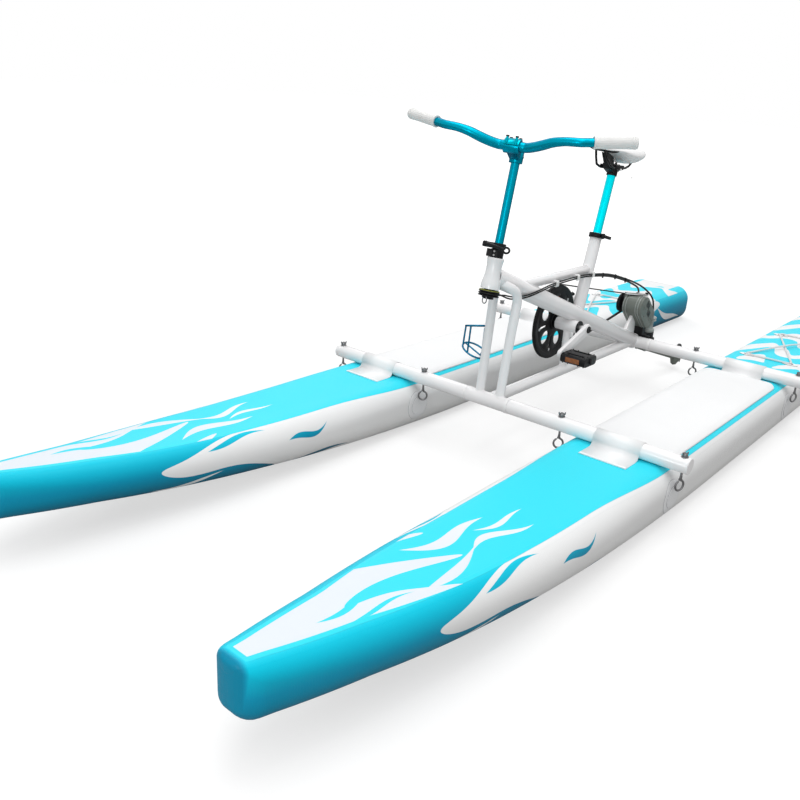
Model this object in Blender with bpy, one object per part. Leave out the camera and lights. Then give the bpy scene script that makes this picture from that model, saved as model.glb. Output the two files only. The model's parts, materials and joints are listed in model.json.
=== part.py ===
"""Inflatable water bike: two drop-stitch pontoons under a welded bicycle frame with a belt-driven propeller.

Metres, +Z up. The bow points to -Y, the rider's left is +X, and the origin is on the ground in the middle.
Most places are given as (x, y, z) from the middle of the front cross tube's axis: y runs aft and z up.
"""

import math

import bmesh
import bpy
from mathutils import Matrix, Vector

# Every fit is this wide unless it has its own clearance.
GAP = 0.0003

# Pontoons
PONTOON_LENGTH = 3.260
PONTOON_WIDTH = 0.300
PONTOON_THICKNESS = 0.150
PONTOON_TRACK = 0.790
PONTOON_EDGE_RADIUS = 0.056
PONTOON_WALL = 0.0025
BOW_LENGTH = 1.202
BOW_POWER = 3.14
NOSE_HALF_WIDTH = 0.040
NOSE_ROUND = 0.025
BOW_SECTIONS = 11
DECK_RISE_START = 0.247
DECK_RISE = 0.0632
DECK_RISE_POWER = 2.29
KEEL_RISE_START = -0.219
KEEL_RISE = 0.0571
KEEL_RISE_POWER = 1.684
STERN_ROUND = 0.055
STERN_EDGE_ROUND = 0.030
VALVE_HOLE_RADIUS = 0.013

# Deck
PAD_THICKNESS = 0.005
PAD_WIDTH = 0.235
PAD_CORNER = 0.040
PAD_TO_TUBE = 0.033
SLEEVE_WIDTH = 0.125
SLEEVE_FABRIC = 0.0025
SLEEVE_FLAP = 0.090
SLEEVE_LEAN = 0.030
BUNGEE_RADIUS = 0.0035
BUNGEE_HALF_WIDTH = 0.075
BUNGEE_FRONT = 1.130
BUNGEE_REAR = 1.520
BUNGEE_TURN = 0.012

# Cross tubes and tie-downs
CROSS_RADIUS = 0.020
CROSS_WALL = 0.003
CROSS_LENGTH = 1.150
CROSS_SPACING = 0.889
CENTRE_HALF = 0.070
SPIGOT_LENGTH = 0.060
SPIGOT_WALL = 0.0035
END_DISC = 0.004
TIE_INNER = 0.229
TIE_OUTER = 0.558
TIE_ROD_RADIUS = 0.003
TIE_WIRE_RADIUS = 0.0023
TIE_RING_RADIUS = 0.009

# Welded frame
FRAME_WALL = 0.002
RAIL_RADIUS = 0.0165
MAIN_RADIUS = 0.025
MAIN_FRONT = (-0.045, 0.352)
MAIN_SETBACK = 0.012
SEAT_TUBE_RADIUS = 0.018
SEAT_TOP = (0.5036, 0.412)
SEAT_LEAN = math.atan(0.235)
SEAT_TUBE_LENGTH = 0.247
SEAT_SLOT = 0.002
BRACE_RADIUS = 0.014
BRACE_HEIGHT = 0.305
BRACKET_PLACE = (0.399, 0.143)
BRACKET_RADIUS = 0.019
BRACKET_WIDTH = 0.073
STRUT_RADIUS = 0.011
LEG_RADIUS = 0.0125
LEG_SPREAD = 0.033
GUSSET_THICKNESS = 0.010

# Steering column, in heights along its leaning axis from the head tube's foot
HEAD_FOOT = (-0.0457, 0.317)
HEAD_LEAN = math.atan(0.19)
HEAD_LENGTH = 0.080
HEAD_SHAPE = ((0.0245, 0.0), (0.0245, 0.012), (0.0190, 0.040), (0.0186, 0.060), (0.0190, 0.080))
STEERER_RADIUS = 0.0145
STEERER_TOP = 0.117
COLLAR_HEIGHT = 0.021
COLLAR_RADIUS = 0.0172
STEER_REST = math.radians(16)
STEM_POST_RADIUS = 0.0111
STEM_POST_WALL = 0.0018
STEM_POST_TOP = 0.350
STEM_POST_LENGTH = 0.340
PULLEY_HEIGHT = 0.014
PULLEY_DROP = 0.005
PULLEY_RADIUS = 0.0275
CLAMP_HEIGHT = 0.014
CLAMP_WALL = 0.0045
CLAMP_LEVER_LENGTH = 0.058
LEVER_THICKNESS = 0.0045

# Handlebar: forward of the steering axis, and in heights along it; outside its bend it runs straight
BAR_FORWARD = 0.051
BAR_HEIGHT = 0.350
BAR_BEND = (0.1683, -0.0366, 0.0241)
BAR_END = (0.2858, 0.0156, 0.0463)
BAR_RADIUS = 0.0120
BAR_END_RADIUS = 0.0104
GRIP_LENGTH = 0.102
GRIP_RADIUS = 0.0138
STEM_JAW_RADIUS = 0.0180
STEM_JAW_WIDTH = 0.040

# Seat, in heights along the seat tube's axis from its top
SEATPOST_RADIUS = 0.0127
SEATPOST_WALL = 0.002
SEATPOST_RISE = 0.184
SEATPOST_INSERTION = 0.095
RAIL_SPREAD = 0.022
SEAT_RAIL_RADIUS = 0.0035
SADDLE_NOSE = (0.400, 0.670)
SADDLE_LENGTH = 0.252

# Crankset
CRANK_LENGTH = 0.150
CRANK_SLOPE = math.radians(18)
CRANK_OFFSET = 0.058
CRANK_THICKNESS = 0.012
AXLE_RADIUS = 0.0085
PEDAL_AXLE_RADIUS = 0.006
PEDAL_WIDTH = 0.078
PEDAL_LENGTH = 0.070
PEDAL_THICKNESS = 0.027
PEDAL_STANDOFF = 0.013
BELT_PLANE = -0.050
BELT_WIDTH = 0.009
BELT_THICKNESS = 0.0035
CHAINRING_RADIUS = 0.1125
CHAINRING_BUMPS = 20
CHAINRING_SPOKES = 5

# Drive case, in the plane of symmetry
DRIVE_CENTRE = (0.862, 0.132)
DRIVE_TAIL = (0.915, 0.085)
DRIVE_RADIUS = 0.036
DRIVE_HALF_WIDTH = 0.030
DRIVE_WALL = 0.004
COVER_THICKNESS = 0.008
DRIVE_PULLEY_RADIUS = 0.0305
SHAFT_RADIUS = 0.006
GEAR_INNER = 0.009
GEAR_OUTER = 0.018
LATCH_LENGTH = 0.078
LATCH_WIDTH = 0.0124
LATCH_THICKNESS = 0.0064
LATCH_TURN = math.radians(33)

# Steering swivel, propeller leg and propeller
STEER_RATIO = 0.62
SWIVEL_Y = 0.985
SWIVEL_RADIUS = 0.022
SWIVEL_TOP = 0.100
SHEAVE_RADIUS = 0.033
CRADLE_RING_RADIUS = 0.031
CRADLE_TOP = 0.020
LEG_PIVOT_Z = -0.040
LEG_PARKED = math.radians(72)
PROP_LEG_RADIUS = 0.015
PROP_LEG_LENGTH = 0.250
PROP_BULB_RADIUS = 0.017
PROP_OFFSET = 0.029
PROP_RADIUS = 0.085
PROP_CHORD = 0.032

# Steering cable and bottle cage
CABLE_RADIUS = 0.0025
CAGE_HOOP = (-0.0875, 0.038, 0.185)
CAGE_RADIUS = 0.037
CAGE_WIRE = 0.0026
CAGE_DROP = 0.058

FRONT_Y = BOW_LENGTH - PONTOON_LENGTH / 2
TUBE_Z = PONTOON_THICKNESS + CROSS_RADIUS + GAP
REAR = (CROSS_SPACING, 0.0)
PONTOON_X = PONTOON_TRACK / 2
UP_Z_TO_X = (0.0, math.pi / 2, 0.0)
UP_Z_TO_MINUS_X = (0.0, -math.pi / 2, 0.0)


def clear_scene():
    for obj in list(bpy.data.objects):
        bpy.data.objects.remove(obj)


def look(name, colour, roughness, metallic=0.0):
    material = bpy.data.materials.new(name)
    material.use_nodes = True
    shader = material.node_tree.nodes["Principled BSDF"]
    shader.inputs["Base Color"].default_value = (*colour, 1.0)
    shader.inputs["Roughness"].default_value = roughness
    shader.inputs["Metallic"].default_value = metallic
    return material


def link(name, mesh, parent=None, at=(0, 0, 0), turn=(0, 0, 0)):
    obj = bpy.data.objects.new(name, mesh)
    bpy.context.scene.collection.objects.link(obj)
    obj.parent = parent
    obj.location = at
    obj.rotation_euler = turn
    return obj


def solid(name, bm, finish, parent=None, at=(0, 0, 0), turn=(0, 0, 0)):
    """Makes a named piece from a bmesh, with its faces out and its round faces smooth."""
    mesh = bpy.data.meshes.new(name)
    bmesh.ops.recalc_face_normals(bm, faces=bm.faces)
    bm.to_mesh(mesh)
    bm.free()
    mesh.materials.append(finish)
    mesh.shade_smooth()
    mesh.set_sharp_from_angle(angle=math.radians(35))
    return link(name, mesh, parent, at, turn)


def helper(name, bm, parent=None, at=(0, 0, 0), turn=(0, 0, 0)):
    """A shape that only cuts or joins others."""
    obj = solid("help_" + name, bm, FRAME_WHITE, parent, at, turn)
    obj.hide_render = True
    obj.display_type = "WIRE"
    return obj


def combine(obj, operation, others):
    for other in others:
        boolean = obj.modifiers.new(other.name, "BOOLEAN")
        boolean.operation = operation
        boolean.object = other
    return obj


def cut(obj, *others):
    return combine(obj, "DIFFERENCE", others)


def fuse(obj, *others):
    return combine(obj, "UNION", others)


def settled(obj, *helpers):
    """Gives the object the mesh that its Booleans make, so that copies can share it."""
    bpy.context.view_layer.update()
    graph = bpy.context.evaluated_depsgraph_get()
    mesh = bpy.data.meshes.new_from_object(obj.evaluated_get(graph))
    obj.modifiers.clear()
    obj.data = mesh
    for other in helpers:
        bpy.data.objects.remove(other)
    return obj


def empty(name, at, turn=(0, 0, 0), parent=None):
    return link(name, None, parent, at, turn)


def along(direction):
    """The turn that lays a piece's own Z along a direction (y, z) of the plane of symmetry."""
    return (math.atan2(-direction[0], direction[1]), 0.0, 0.0)


def toward(start, end):
    return Vector((end[0] - start[0], end[1] - start[1]))


def rod(radius, low, high, steps=20):
    bm = bmesh.new()
    middle = Matrix.Translation((0, 0, (low + high) / 2))
    bmesh.ops.create_cone(
        bm, cap_ends=True, segments=steps, radius1=radius, radius2=radius, depth=high - low, matrix=middle
    )
    return bm


def turned(profile, steps=20, ring=False):
    """Spins (radius, height) points round Z; a ring's last point joins its first, which leaves a bore."""
    bm = bmesh.new()
    verts = [bm.verts.new((radius, 0, height)) for radius, height in profile]
    pairs = list(zip(verts, verts[1:])) + ([(verts[-1], verts[0])] if ring else [])
    edges = [bm.edges.new(pair) for pair in pairs]
    bmesh.ops.spin(
        bm, geom=verts + edges, axis=(0, 0, 1), cent=(0, 0, 0), angle=math.tau, steps=steps, use_merge=True
    )
    bmesh.ops.remove_doubles(bm, verts=bm.verts, dist=1e-6)
    return bm


def tube(outer, bore, low, high, steps=20):
    return turned([(bore, low), (outer, low), (outer, high), (bore, high)], steps, ring=True)


def block(low, high):
    bm = bmesh.new()
    low, high = Vector(low), Vector(high)
    size = high - low
    place = Matrix.Translation((low + high) / 2) @ Matrix.Diagonal((*size, 1.0))
    bmesh.ops.create_cube(bm, size=1.0, matrix=place)
    return bm


def prism(outline, low, high, axis="X"):
    """Extrudes a closed outline along an axis; its points are the other two coordinates, in order."""
    order = {"X": lambda u, v, w: (w, u, v), "Y": lambda u, v, w: (u, w, v), "Z": lambda u, v, w: (u, v, w)}[
        axis
    ]
    bm = bmesh.new()
    face = bm.faces.new([bm.verts.new(order(u, v, low)) for u, v in outline])
    made = bmesh.ops.extrude_face_region(bm, geom=[face])["geom"]
    moved = [item for item in made if isinstance(item, bmesh.types.BMVert)]
    bmesh.ops.translate(bm, verts=moved, vec=order(0.0, 0.0, high - low))
    return bm


def arc(centre, radius, start, end, steps):
    angles = [start + (end - start) * i / steps for i in range(steps + 1)]
    return [(centre[0] + radius * math.cos(a), centre[1] + radius * math.sin(a)) for a in angles]


def strap_outline(a, radius_a, b, radius_b, steps=10):
    """The outline of a belt pulled round two circles."""
    across = toward(a, b)
    heading = math.atan2(across[1], across[0])
    lean = math.acos((radius_a - radius_b) / across.length)
    far = arc(b, radius_b, heading - lean, heading + lean, steps)
    return far + arc(a, radius_a, heading + lean, heading + math.tau - lean, steps)


def rounded_box(half_u, half_v, radius, steps=4):
    corners = ((1, 1), (-1, 1), (-1, -1), (1, -1))
    points = []
    for i, (u, v) in enumerate(corners):
        start = i * math.pi / 2
        points += arc((u * (half_u - radius), v * (half_v - radius)), radius, start, start + math.pi / 2, steps)
    return points


def smooth(points, spans=3):
    """A smooth curve through hand-chosen points."""
    points = [Vector(p) for p in points]
    ends = [2 * points[0] - points[1]] + points + [2 * points[-1] - points[-2]]
    route = []
    for a, b, c, d in zip(ends, ends[1:], ends[2:], ends[3:]):
        for i in range(spans):
            t = i / spans
            route.append(
                0.5 * (2 * b + (c - a) * t + (2 * a - 5 * b + 4 * c - d) * t**2 + (3 * b - a - 3 * c + d) * t**3)
            )
    return route + [points[-1]]


def swept(points, radius, sides=12, closed=False, radii=None):
    """A round bar along a route, made by a curve's bevel."""
    curve = bpy.data.curves.new("route", "CURVE")
    curve.dimensions = "3D"
    curve.bevel_depth = radius
    curve.bevel_resolution = (sides - 4) // 2
    curve.use_fill_caps = not closed
    spline = curve.splines.new("POLY")
    spline.points.add(len(points) - 1)
    for i, point in enumerate(points):
        spline.points[i].co = (*point, 1.0)
        spline.points[i].radius = radii[i] / radius if radii else 1.0
    spline.use_cyclic_u = closed
    guide = link("route", curve)
    graph = bpy.context.evaluated_depsgraph_get()
    mesh = bpy.data.meshes.new_from_object(guide.evaluated_get(graph))
    bm = bmesh.new()
    bm.from_mesh(mesh)
    bmesh.ops.remove_doubles(bm, verts=bm.verts, dist=1e-6)
    bpy.data.objects.remove(guide)
    bpy.data.meshes.remove(mesh)
    return bm


def lofted(rings):
    """Joins rings of equal point counts and closes both ends."""
    bm = bmesh.new()
    loops = [[bm.verts.new(point) for point in ring] for ring in rings]
    for ring, following in zip(loops, loops[1:]):
        for i in range(len(ring)):
            j = (i + 1) % len(ring)
            bm.faces.new((ring[i], ring[j], following[j], following[i]))
    bm.faces.new(loops[0])
    bm.faces.new(loops[-1])
    return bm


def end_rounding(distance, radius):
    """How far a side draws in at this distance from an end that is rounded by a radius."""
    inside = max(0.0, radius - distance)
    return radius - math.sqrt(radius**2 - inside**2)


def pontoon_ring(y, inset, corner_steps):
    """The pontoon's section at y, seen along its length, drawn in on every side by the inset."""
    ahead = -y
    from_nose = BOW_LENGTH - ahead
    from_stern = PONTOON_LENGTH - from_nose
    taper = max(0.0, ahead / BOW_LENGTH) ** BOW_POWER
    half = NOSE_HALF_WIDTH + (PONTOON_WIDTH / 2 - NOSE_HALF_WIDTH) * (1 - taper)
    top = DECK_RISE * max(0.0, ahead - DECK_RISE_START) ** DECK_RISE_POWER - CROSS_RADIUS - GAP
    bottom = KEEL_RISE * max(0.0, ahead - KEEL_RISE_START) ** KEEL_RISE_POWER - TUBE_Z
    side = end_rounding(from_nose, NOSE_ROUND) + end_rounding(from_stern, STERN_ROUND) + inset
    edge = end_rounding(from_nose, NOSE_ROUND) + end_rounding(from_stern, STERN_EDGE_ROUND) + inset
    half, top, bottom = half - side, top - edge, bottom + edge
    tall = (top - bottom) / 2
    radius = min(PONTOON_EDGE_RADIUS - inset, 0.96 * half, 0.96 * tall)
    middle = (top + bottom) / 2
    centre = PONTOON_LENGTH / 2 - BOW_LENGTH
    shrunk = centre + (y - centre) * (1 - 2 * inset / PONTOON_LENGTH)
    return [(x, shrunk, z + middle) for x, z in rounded_box(half, tall, radius, corner_steps)]


def pontoon_loft(inset, corner_steps):
    """The pontoon's skin, drawn in by the inset: its sections stand close together at both rounded ends."""
    stern = PONTOON_LENGTH - BOW_LENGTH
    quarter = [math.pi / 2 * i / 3 for i in range(4)]
    front = [-BOW_LENGTH + NOSE_ROUND * (1 - math.cos(a)) for a in quarter]
    rise_end = -KEEL_RISE_START
    bow = [front[-1] + (rise_end - front[-1]) * i / BOW_SECTIONS for i in range(1, BOW_SECTIONS + 1)]
    rear = [stern - STERN_ROUND * (1 - math.cos(a)) for a in reversed(quarter)]
    return lofted([pontoon_ring(y, inset, corner_steps) for y in front + bow + rear])


def sleeve(direction):
    """A fabric pocket welded on the deck round a cross tube; its flap points to +1, aft, or -1, forward."""
    outer = CROSS_RADIUS + GAP + SLEEVE_FABRIC + 0.0002
    deck = -CROSS_RADIUS - GAP
    reach = SLEEVE_FLAP * direction
    lean = SLEEVE_LEAN * direction
    over = arc((0, 0), outer, math.pi / 2 - direction * 1.25, math.pi / 2 + direction * 1.25, 10)
    outline = [
        (reach, deck - 0.001), (reach, deck + SLEEVE_FABRIC), (lean + outer * direction * 0.9, deck + 0.006)
    ]
    toe = -outer * direction - lean * 0.3
    outline += over + [(toe, deck + 0.004), (toe, deck - 0.001)]
    return prism(outline, -SLEEVE_WIDTH / 2, SLEEVE_WIDTH / 2)


def make_pontoons():
    shell = solid("pontoon_left", pontoon_loft(0.0, 4), PVC)
    helpers = []
    for name, y, direction in (("front", 0.0, -1), ("rear", CROSS_SPACING, 1)):
        strap = helper("sleeve_" + name, sleeve(direction), at=(0, y, 0))
        hole = helper(
            "sleeve_bore_" + name, rod(CROSS_RADIUS + 2 * GAP, -0.1, 0.1), at=(0, y, 0), turn=UP_Z_TO_X
        )
        settled(cut(strap, hole), hole)
        strap.hide_render = True
        helpers.append(strap)
    fuse(shell, *helpers)
    inner = helper("air_space", pontoon_loft(PONTOON_WALL, 1))
    valve_z = -CROSS_RADIUS - PONTOON_THICKNESS / 2
    stern = PONTOON_LENGTH - BOW_LENGTH
    valve = helper(
        "valve_hole", rod(VALVE_HOLE_RADIUS, -0.02, 0.02, 16), at=(0, stern, valve_z), turn=along((1, 0))
    )
    settled(cut(shell, inner, valve), inner, valve, *helpers)
    shell.parent = BASE
    shell.location = (PONTOON_X, 0, 0)
    link("pontoon_right", shell.data, BASE, (-PONTOON_X, 0, 0))


def make_deck_pads():
    length = CROSS_SPACING - 2 * PAD_TO_TUBE
    outline = rounded_box(PAD_WIDTH / 2, length / 2, PAD_CORNER, 5)
    low = -CROSS_RADIUS
    pad = solid("deck_pad_left", prism(outline, low, low + PAD_THICKNESS, "Z"), EVA, BASE)
    pad.location = (PONTOON_X, CROSS_SPACING / 2, 0)
    link("deck_pad_right", pad.data, BASE, (-PONTOON_X, CROSS_SPACING / 2, 0))


def make_bungees():
    """One cord a side, laced as a bow tie round four anchors; its second diagonal passes over the first."""
    half, turn = BUNGEE_HALF_WIDTH, BUNGEE_TURN
    lie = -CROSS_RADIUS - GAP + BUNGEE_RADIUS + GAP
    over = lie + 2 * BUNGEE_RADIUS + 2 * GAP
    front, rear = BUNGEE_FRONT, BUNGEE_REAR
    middle = (front + rear) / 2
    slope = (rear - front) / (2 * half)
    near_middle = 0.016
    route = [
        (-half, front + turn, lie), (-half + turn / 2, front, lie), (half - turn / 2, front, lie),
        (half, front + turn, lie), (half - turn / 2, front + 2.2 * turn, lie), (0, middle, lie),
        (-half + turn / 2, rear - 2.2 * turn, lie), (-half, rear - turn, lie), (-half + turn / 2, rear, lie),
        (half - turn / 2, rear, lie), (half, rear - turn, lie), (half - turn / 2, rear - 2.2 * turn, lie),
        (near_middle, middle + near_middle * slope, over), (-near_middle, middle - near_middle * slope, over),
        (-half + turn / 2, front + 2.2 * turn, lie),
    ]
    cord = swept(route, BUNGEE_RADIUS, 8, closed=True)
    left = solid("bungee_left", cord, CORD_WHITE, BASE, (PONTOON_X, 0, 0))
    link("bungee_right", left.data, BASE, (-PONTOON_X, 0, 0))


def make_cross_tubes():
    spigot = CROSS_RADIUS - CROSS_WALL - GAP
    bore = spigot - SPIGOT_WALL
    end = CENTRE_HALF + SPIGOT_LENGTH
    profile = [
        (bore, -end), (spigot, -end), (spigot, -CENTRE_HALF), (CROSS_RADIUS, -CENTRE_HALF),
        (CROSS_RADIUS, CENTRE_HALF), (spigot, CENTRE_HALF), (spigot, end), (bore, end),
    ]
    for name, y in (("front", 0.0), ("rear", CROSS_SPACING)):
        solid(f"{name}_crossmember", turned(profile, ring=True), FRAME_WHITE, BASE, (0, y, 0), UP_Z_TO_X)
    start, end = CENTRE_HALF + GAP, CROSS_LENGTH / 2
    inside = CROSS_RADIUS - CROSS_WALL
    cup = [
        (inside, start), (CROSS_RADIUS, start), (CROSS_RADIUS, end), (0, end), (0, end - END_DISC),
        (inside, end - END_DISC),
    ]
    outrigger = solid("outrigger_front_left", turned(cup, ring=True), FRAME_WHITE)
    holes = [
        helper(f"tie_hole_{i}", rod(TIE_ROD_RADIUS + GAP, -0.03, 0.03, 8), at=(0, 0, x), turn=UP_Z_TO_X)
        for i, x in enumerate((TIE_INNER, TIE_OUTER))
    ]
    settled(cut(outrigger, *holes), *holes)
    outrigger.parent = BASE
    outrigger.rotation_euler = UP_Z_TO_X
    link("outrigger_front_right", outrigger.data, BASE, (0, 0, 0), UP_Z_TO_MINUS_X)
    link("outrigger_rear_left", outrigger.data, BASE, (0, CROSS_SPACING, 0), UP_Z_TO_X)
    link("outrigger_rear_right", outrigger.data, BASE, (0, CROSS_SPACING, 0), UP_Z_TO_MINUS_X)


def make_tie_downs():
    """A rod through the tube, a wing nut on its upper end, and a ring with a snap hook on its lower end."""
    seat = CROSS_RADIUS + GAP
    ring_z = -CROSS_RADIUS - 0.015 - TIE_RING_RADIUS
    piece = solid("tie_down", rod(TIE_ROD_RADIUS, ring_z + TIE_RING_RADIUS - 0.002, seat + 0.014, 6), STEEL)
    ring = [(0, x, z + ring_z) for x, z in arc((0, 0), TIE_RING_RADIUS, 0, math.tau * 6 / 7, 6)]
    hook = [
        (0, 0, -0.003), (0, -0.008, -0.010), (0, -0.0095, -0.026), (0, -0.003, -0.038), (0, 0.006, -0.038),
        (0, 0.0095, -0.028), (0, 0.008, -0.017),
    ]
    hook = [(x, y, z + ring_z - TIE_RING_RADIUS + 0.002) for x, y, z in hook]
    parts = [
        helper("nut", rod(0.007, seat, seat + 0.008, 6)),
        helper("wing_fore", block((-0.002, -0.017, seat + 0.003), (0.002, -0.004, seat + 0.015))),
        helper("wing_aft", block((-0.002, 0.004, seat + 0.003), (0.002, 0.017, seat + 0.015))),
        helper("ring", swept(ring, TIE_WIRE_RADIUS, 4, closed=True)),
        helper("hook", swept(hook, TIE_WIRE_RADIUS, 4)),
    ]
    settled(fuse(piece, *parts), *parts)
    mesh = piece.data
    bpy.data.objects.remove(piece)
    for end, y in (("front", 0.0), ("rear", CROSS_SPACING)):
        for side, sign in (("left", 1), ("right", -1)):
            for place, x in (("inner", TIE_INNER), ("outer", TIE_OUTER)):
                link(f"tie_down_{end}_{side}_{place}", mesh, BASE, (sign * x, y, 0))


def frame_clearances():
    """Solids a gap larger than each welded tube, which cope the tubes that meet it."""
    main = toward(MAIN_FRONT, REAR)
    sides = [(radius + 1.2 * GAP, height) for radius, height in HEAD_SHAPE]
    foot, top = sides[0][0], sides[-1][0]
    head = [(0, -GAP), (foot, -GAP)] + sides[1:-1] + [(top, HEAD_LENGTH + GAP), (0, HEAD_LENGTH + GAP)]
    return {
        "front": helper("clear_front", rod(CROSS_RADIUS + GAP, -0.1, 0.1), BASE, (0, 0, 0), UP_Z_TO_X),
        "rear": helper("clear_rear", rod(CROSS_RADIUS + GAP, -0.1, 0.1), BASE, (0, *REAR), UP_Z_TO_X),
        "main": helper(
            "clear_main", rod(MAIN_RADIUS + GAP, -0.02, main.length, 24),
            BASE, (0, *MAIN_FRONT), along(main)
        ),
        "rail": helper("clear_rail", rod(RAIL_RADIUS + GAP, 0, CROSS_SPACING), BASE, (0, 0, 0), along((1, 0))),
        "head": helper("clear_head", turned(head, 20), HEAD),
        "seat": helper("clear_seat", rod(SEAT_TUBE_RADIUS + GAP, -0.3, 0.02), SEAT),
    }


def make_welded_frame():
    near = frame_clearances()
    main = toward(MAIN_FRONT, REAR)
    span = tube(MAIN_RADIUS, MAIN_RADIUS - FRAME_WALL, MAIN_SETBACK, main.length - 0.004, 24)
    main_tube = solid("main_tube", span, FRAME_WHITE, BASE, (0, *MAIN_FRONT), along(main))
    half = GUSSET_THICKNESS / 2
    gusset = helper(
        "gusset", prism([(0.800, 0.040), (0.846, 0.100), (0.872, 0.100), (0.880, 0.020)], -half, half), BASE
    )
    case = helper("clear_case", prism(drive_outline(GAP), -0.05, 0.05), BASE)
    hollow = helper(
        "main_bore", rod(MAIN_RADIUS - FRAME_WALL, -0.02, main.length, 24),
        BASE, (0, *MAIN_FRONT), along(main)
    )
    cut(fuse(main_tube, gusset), hollow, case, near["head"], near["rear"])

    rail = tube(RAIL_RADIUS, RAIL_RADIUS - FRAME_WALL, 0, CROSS_SPACING)
    rail = solid("bottom_rail", rail, FRAME_WHITE, BASE, (0, 0, 0), along((1, 0)))
    cut(rail, near["front"], near["rear"], near["main"])

    bore = STEERER_RADIUS + GAP
    shape = [(bore, 0), *HEAD_SHAPE, (bore, HEAD_LENGTH)]
    solid("head_tube", turned(shape, 20, ring=True), FRAME_WHITE, HEAD)

    seat_bore = SEATPOST_RADIUS + GAP
    seat_tube = solid("seat_tube", tube(SEAT_TUBE_RADIUS, seat_bore, -SEAT_TUBE_LENGTH, 0), FRAME_WHITE, SEAT)
    slot = helper("seat_slot", block((-SEAT_SLOT / 2, 0.005, -0.035), (SEAT_SLOT / 2, 0.03, 0.01)), SEAT)
    cut(seat_tube, near["main"], slot)

    brace_end = SEAT_TOP[0] + (BRACE_HEIGHT - SEAT_TOP[1]) * math.tan(SEAT_LEAN)
    brace = tube(BRACE_RADIUS, BRACE_RADIUS - FRAME_WALL, 0.090, brace_end)
    brace = solid("top_brace", brace, FRAME_WHITE, BASE, (0, 0, BRACE_HEIGHT), along((1, 0)))
    clips = [
        helper(
            f"clip_{i}",
            block((0.011, y - 0.005, z - 0.008), (CABLE_LANE - CABLE_RADIUS - GAP, y + 0.005, z + 0.008)), BASE
        )
        for i, (y, z) in enumerate(CLIPS)
    ]
    cut(fuse(brace, *clips), near["main"], near["seat"])

    half = BRACKET_WIDTH / 2
    shell = solid(
        "bottom_bracket_shell", rod(BRACKET_RADIUS, -half, half),
        FRAME_WHITE, BASE, (0, *BRACKET_PLACE), UP_Z_TO_X
    )
    strut = helper("strut", rod(STRUT_RADIUS, -BRACKET_PLACE[1], 0), BASE, (0, *BRACKET_PLACE))
    axle_bore = helper("axle_bore", rod(AXLE_RADIUS + GAP, -0.05, 0.05), BASE, (0, *BRACKET_PLACE), UP_Z_TO_X)
    cut(fuse(shell, strut), near["main"], near["rail"], axle_bore)

    for side, sign in (("left", 1), ("right", -1)):
        route = [
            (sign * LEG_SPREAD, 0.003, 0.004), (sign * LEG_SPREAD, 0.018, 0.140), (
                sign * LEG_SPREAD, 0.033, 0.265
            ),
            (sign * (LEG_SPREAD - 0.002), 0.038, 0.292), (sign * (LEG_SPREAD - 0.010), 0.046, 0.322),
        ]
        leg = solid(f"front_leg_{side}", swept(route, LEG_RADIUS, 16), FRAME_WHITE, BASE)
        cut(leg, near["front"], near["main"])


def lever_with_ring(name, length, finger_ring, parent, pin, turn):
    """A flat clamp lever that turns about its cam's pin, with a finger ring on its free end."""
    outline = strap_outline((0, 0), 0.006, (length - 0.008, 0), 0.004, 5)
    lever = solid(
        name, prism(outline, -LEVER_THICKNESS, LEVER_THICKNESS, "Z"), BLACK, parent, pin, (0, 0, turn)
    )
    cut(lever, helper(name + "_hole", rod(0.002 + GAP, -0.02, 0.02, 10), lever))
    if finger_ring:
        thin = LEVER_THICKNESS * 0.7
        fuse(lever, helper(name + "_ring", tube(0.0085, 0.0055, -thin, thin, 16), lever, (length, 0, 0)))
        cut(lever, helper(name + "_eye", rod(0.0055, -0.02, 0.02, 16), lever, (length, 0, 0)))


def clamp_ring(name, post_radius, finish, parent, height, pin_place):
    """A split ring round a tube, with the pin that its lever turns on standing beside it."""
    bore = post_radius + GAP
    ring = solid(
        name, tube(bore + CLAMP_WALL, bore, -CLAMP_HEIGHT / 2, CLAMP_HEIGHT / 2),
        finish, parent, (0, 0, height)
    )
    pin_x, pin_y = pin_place
    half = CLAMP_HEIGHT / 2
    reach = Vector(pin_place).normalized()
    root = reach * (bore + 0.002)
    ears = []
    for i, (low, high) in enumerate(((-half, -LEVER_THICKNESS - GAP), (LEVER_THICKNESS + GAP, half))):
        ear = prism(strap_outline(tuple(root), 0.0045, pin_place, 0.0045, 5), low, high, "Z")
        ears.append(helper(f"{name}_ear_{i}", ear, parent, (0, 0, height)))
    pin = helper(f"{name}_pin", rod(0.002, -half + 0.001, half - 0.001, 10), parent, (pin_x, pin_y, height))
    hole = helper(f"{name}_bore", rod(bore, -0.02, 0.02), parent, (0, 0, height))
    slot_turn = (0, 0, math.atan2(-pin_y, -pin_x))
    slot = helper(
        f"{name}_slot", block((0, -0.001, -0.02), (0.05, 0.001, 0.02)), parent, (0, 0, height), slot_turn
    )
    return cut(fuse(ring, pin, *ears), hole, slot)


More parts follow.
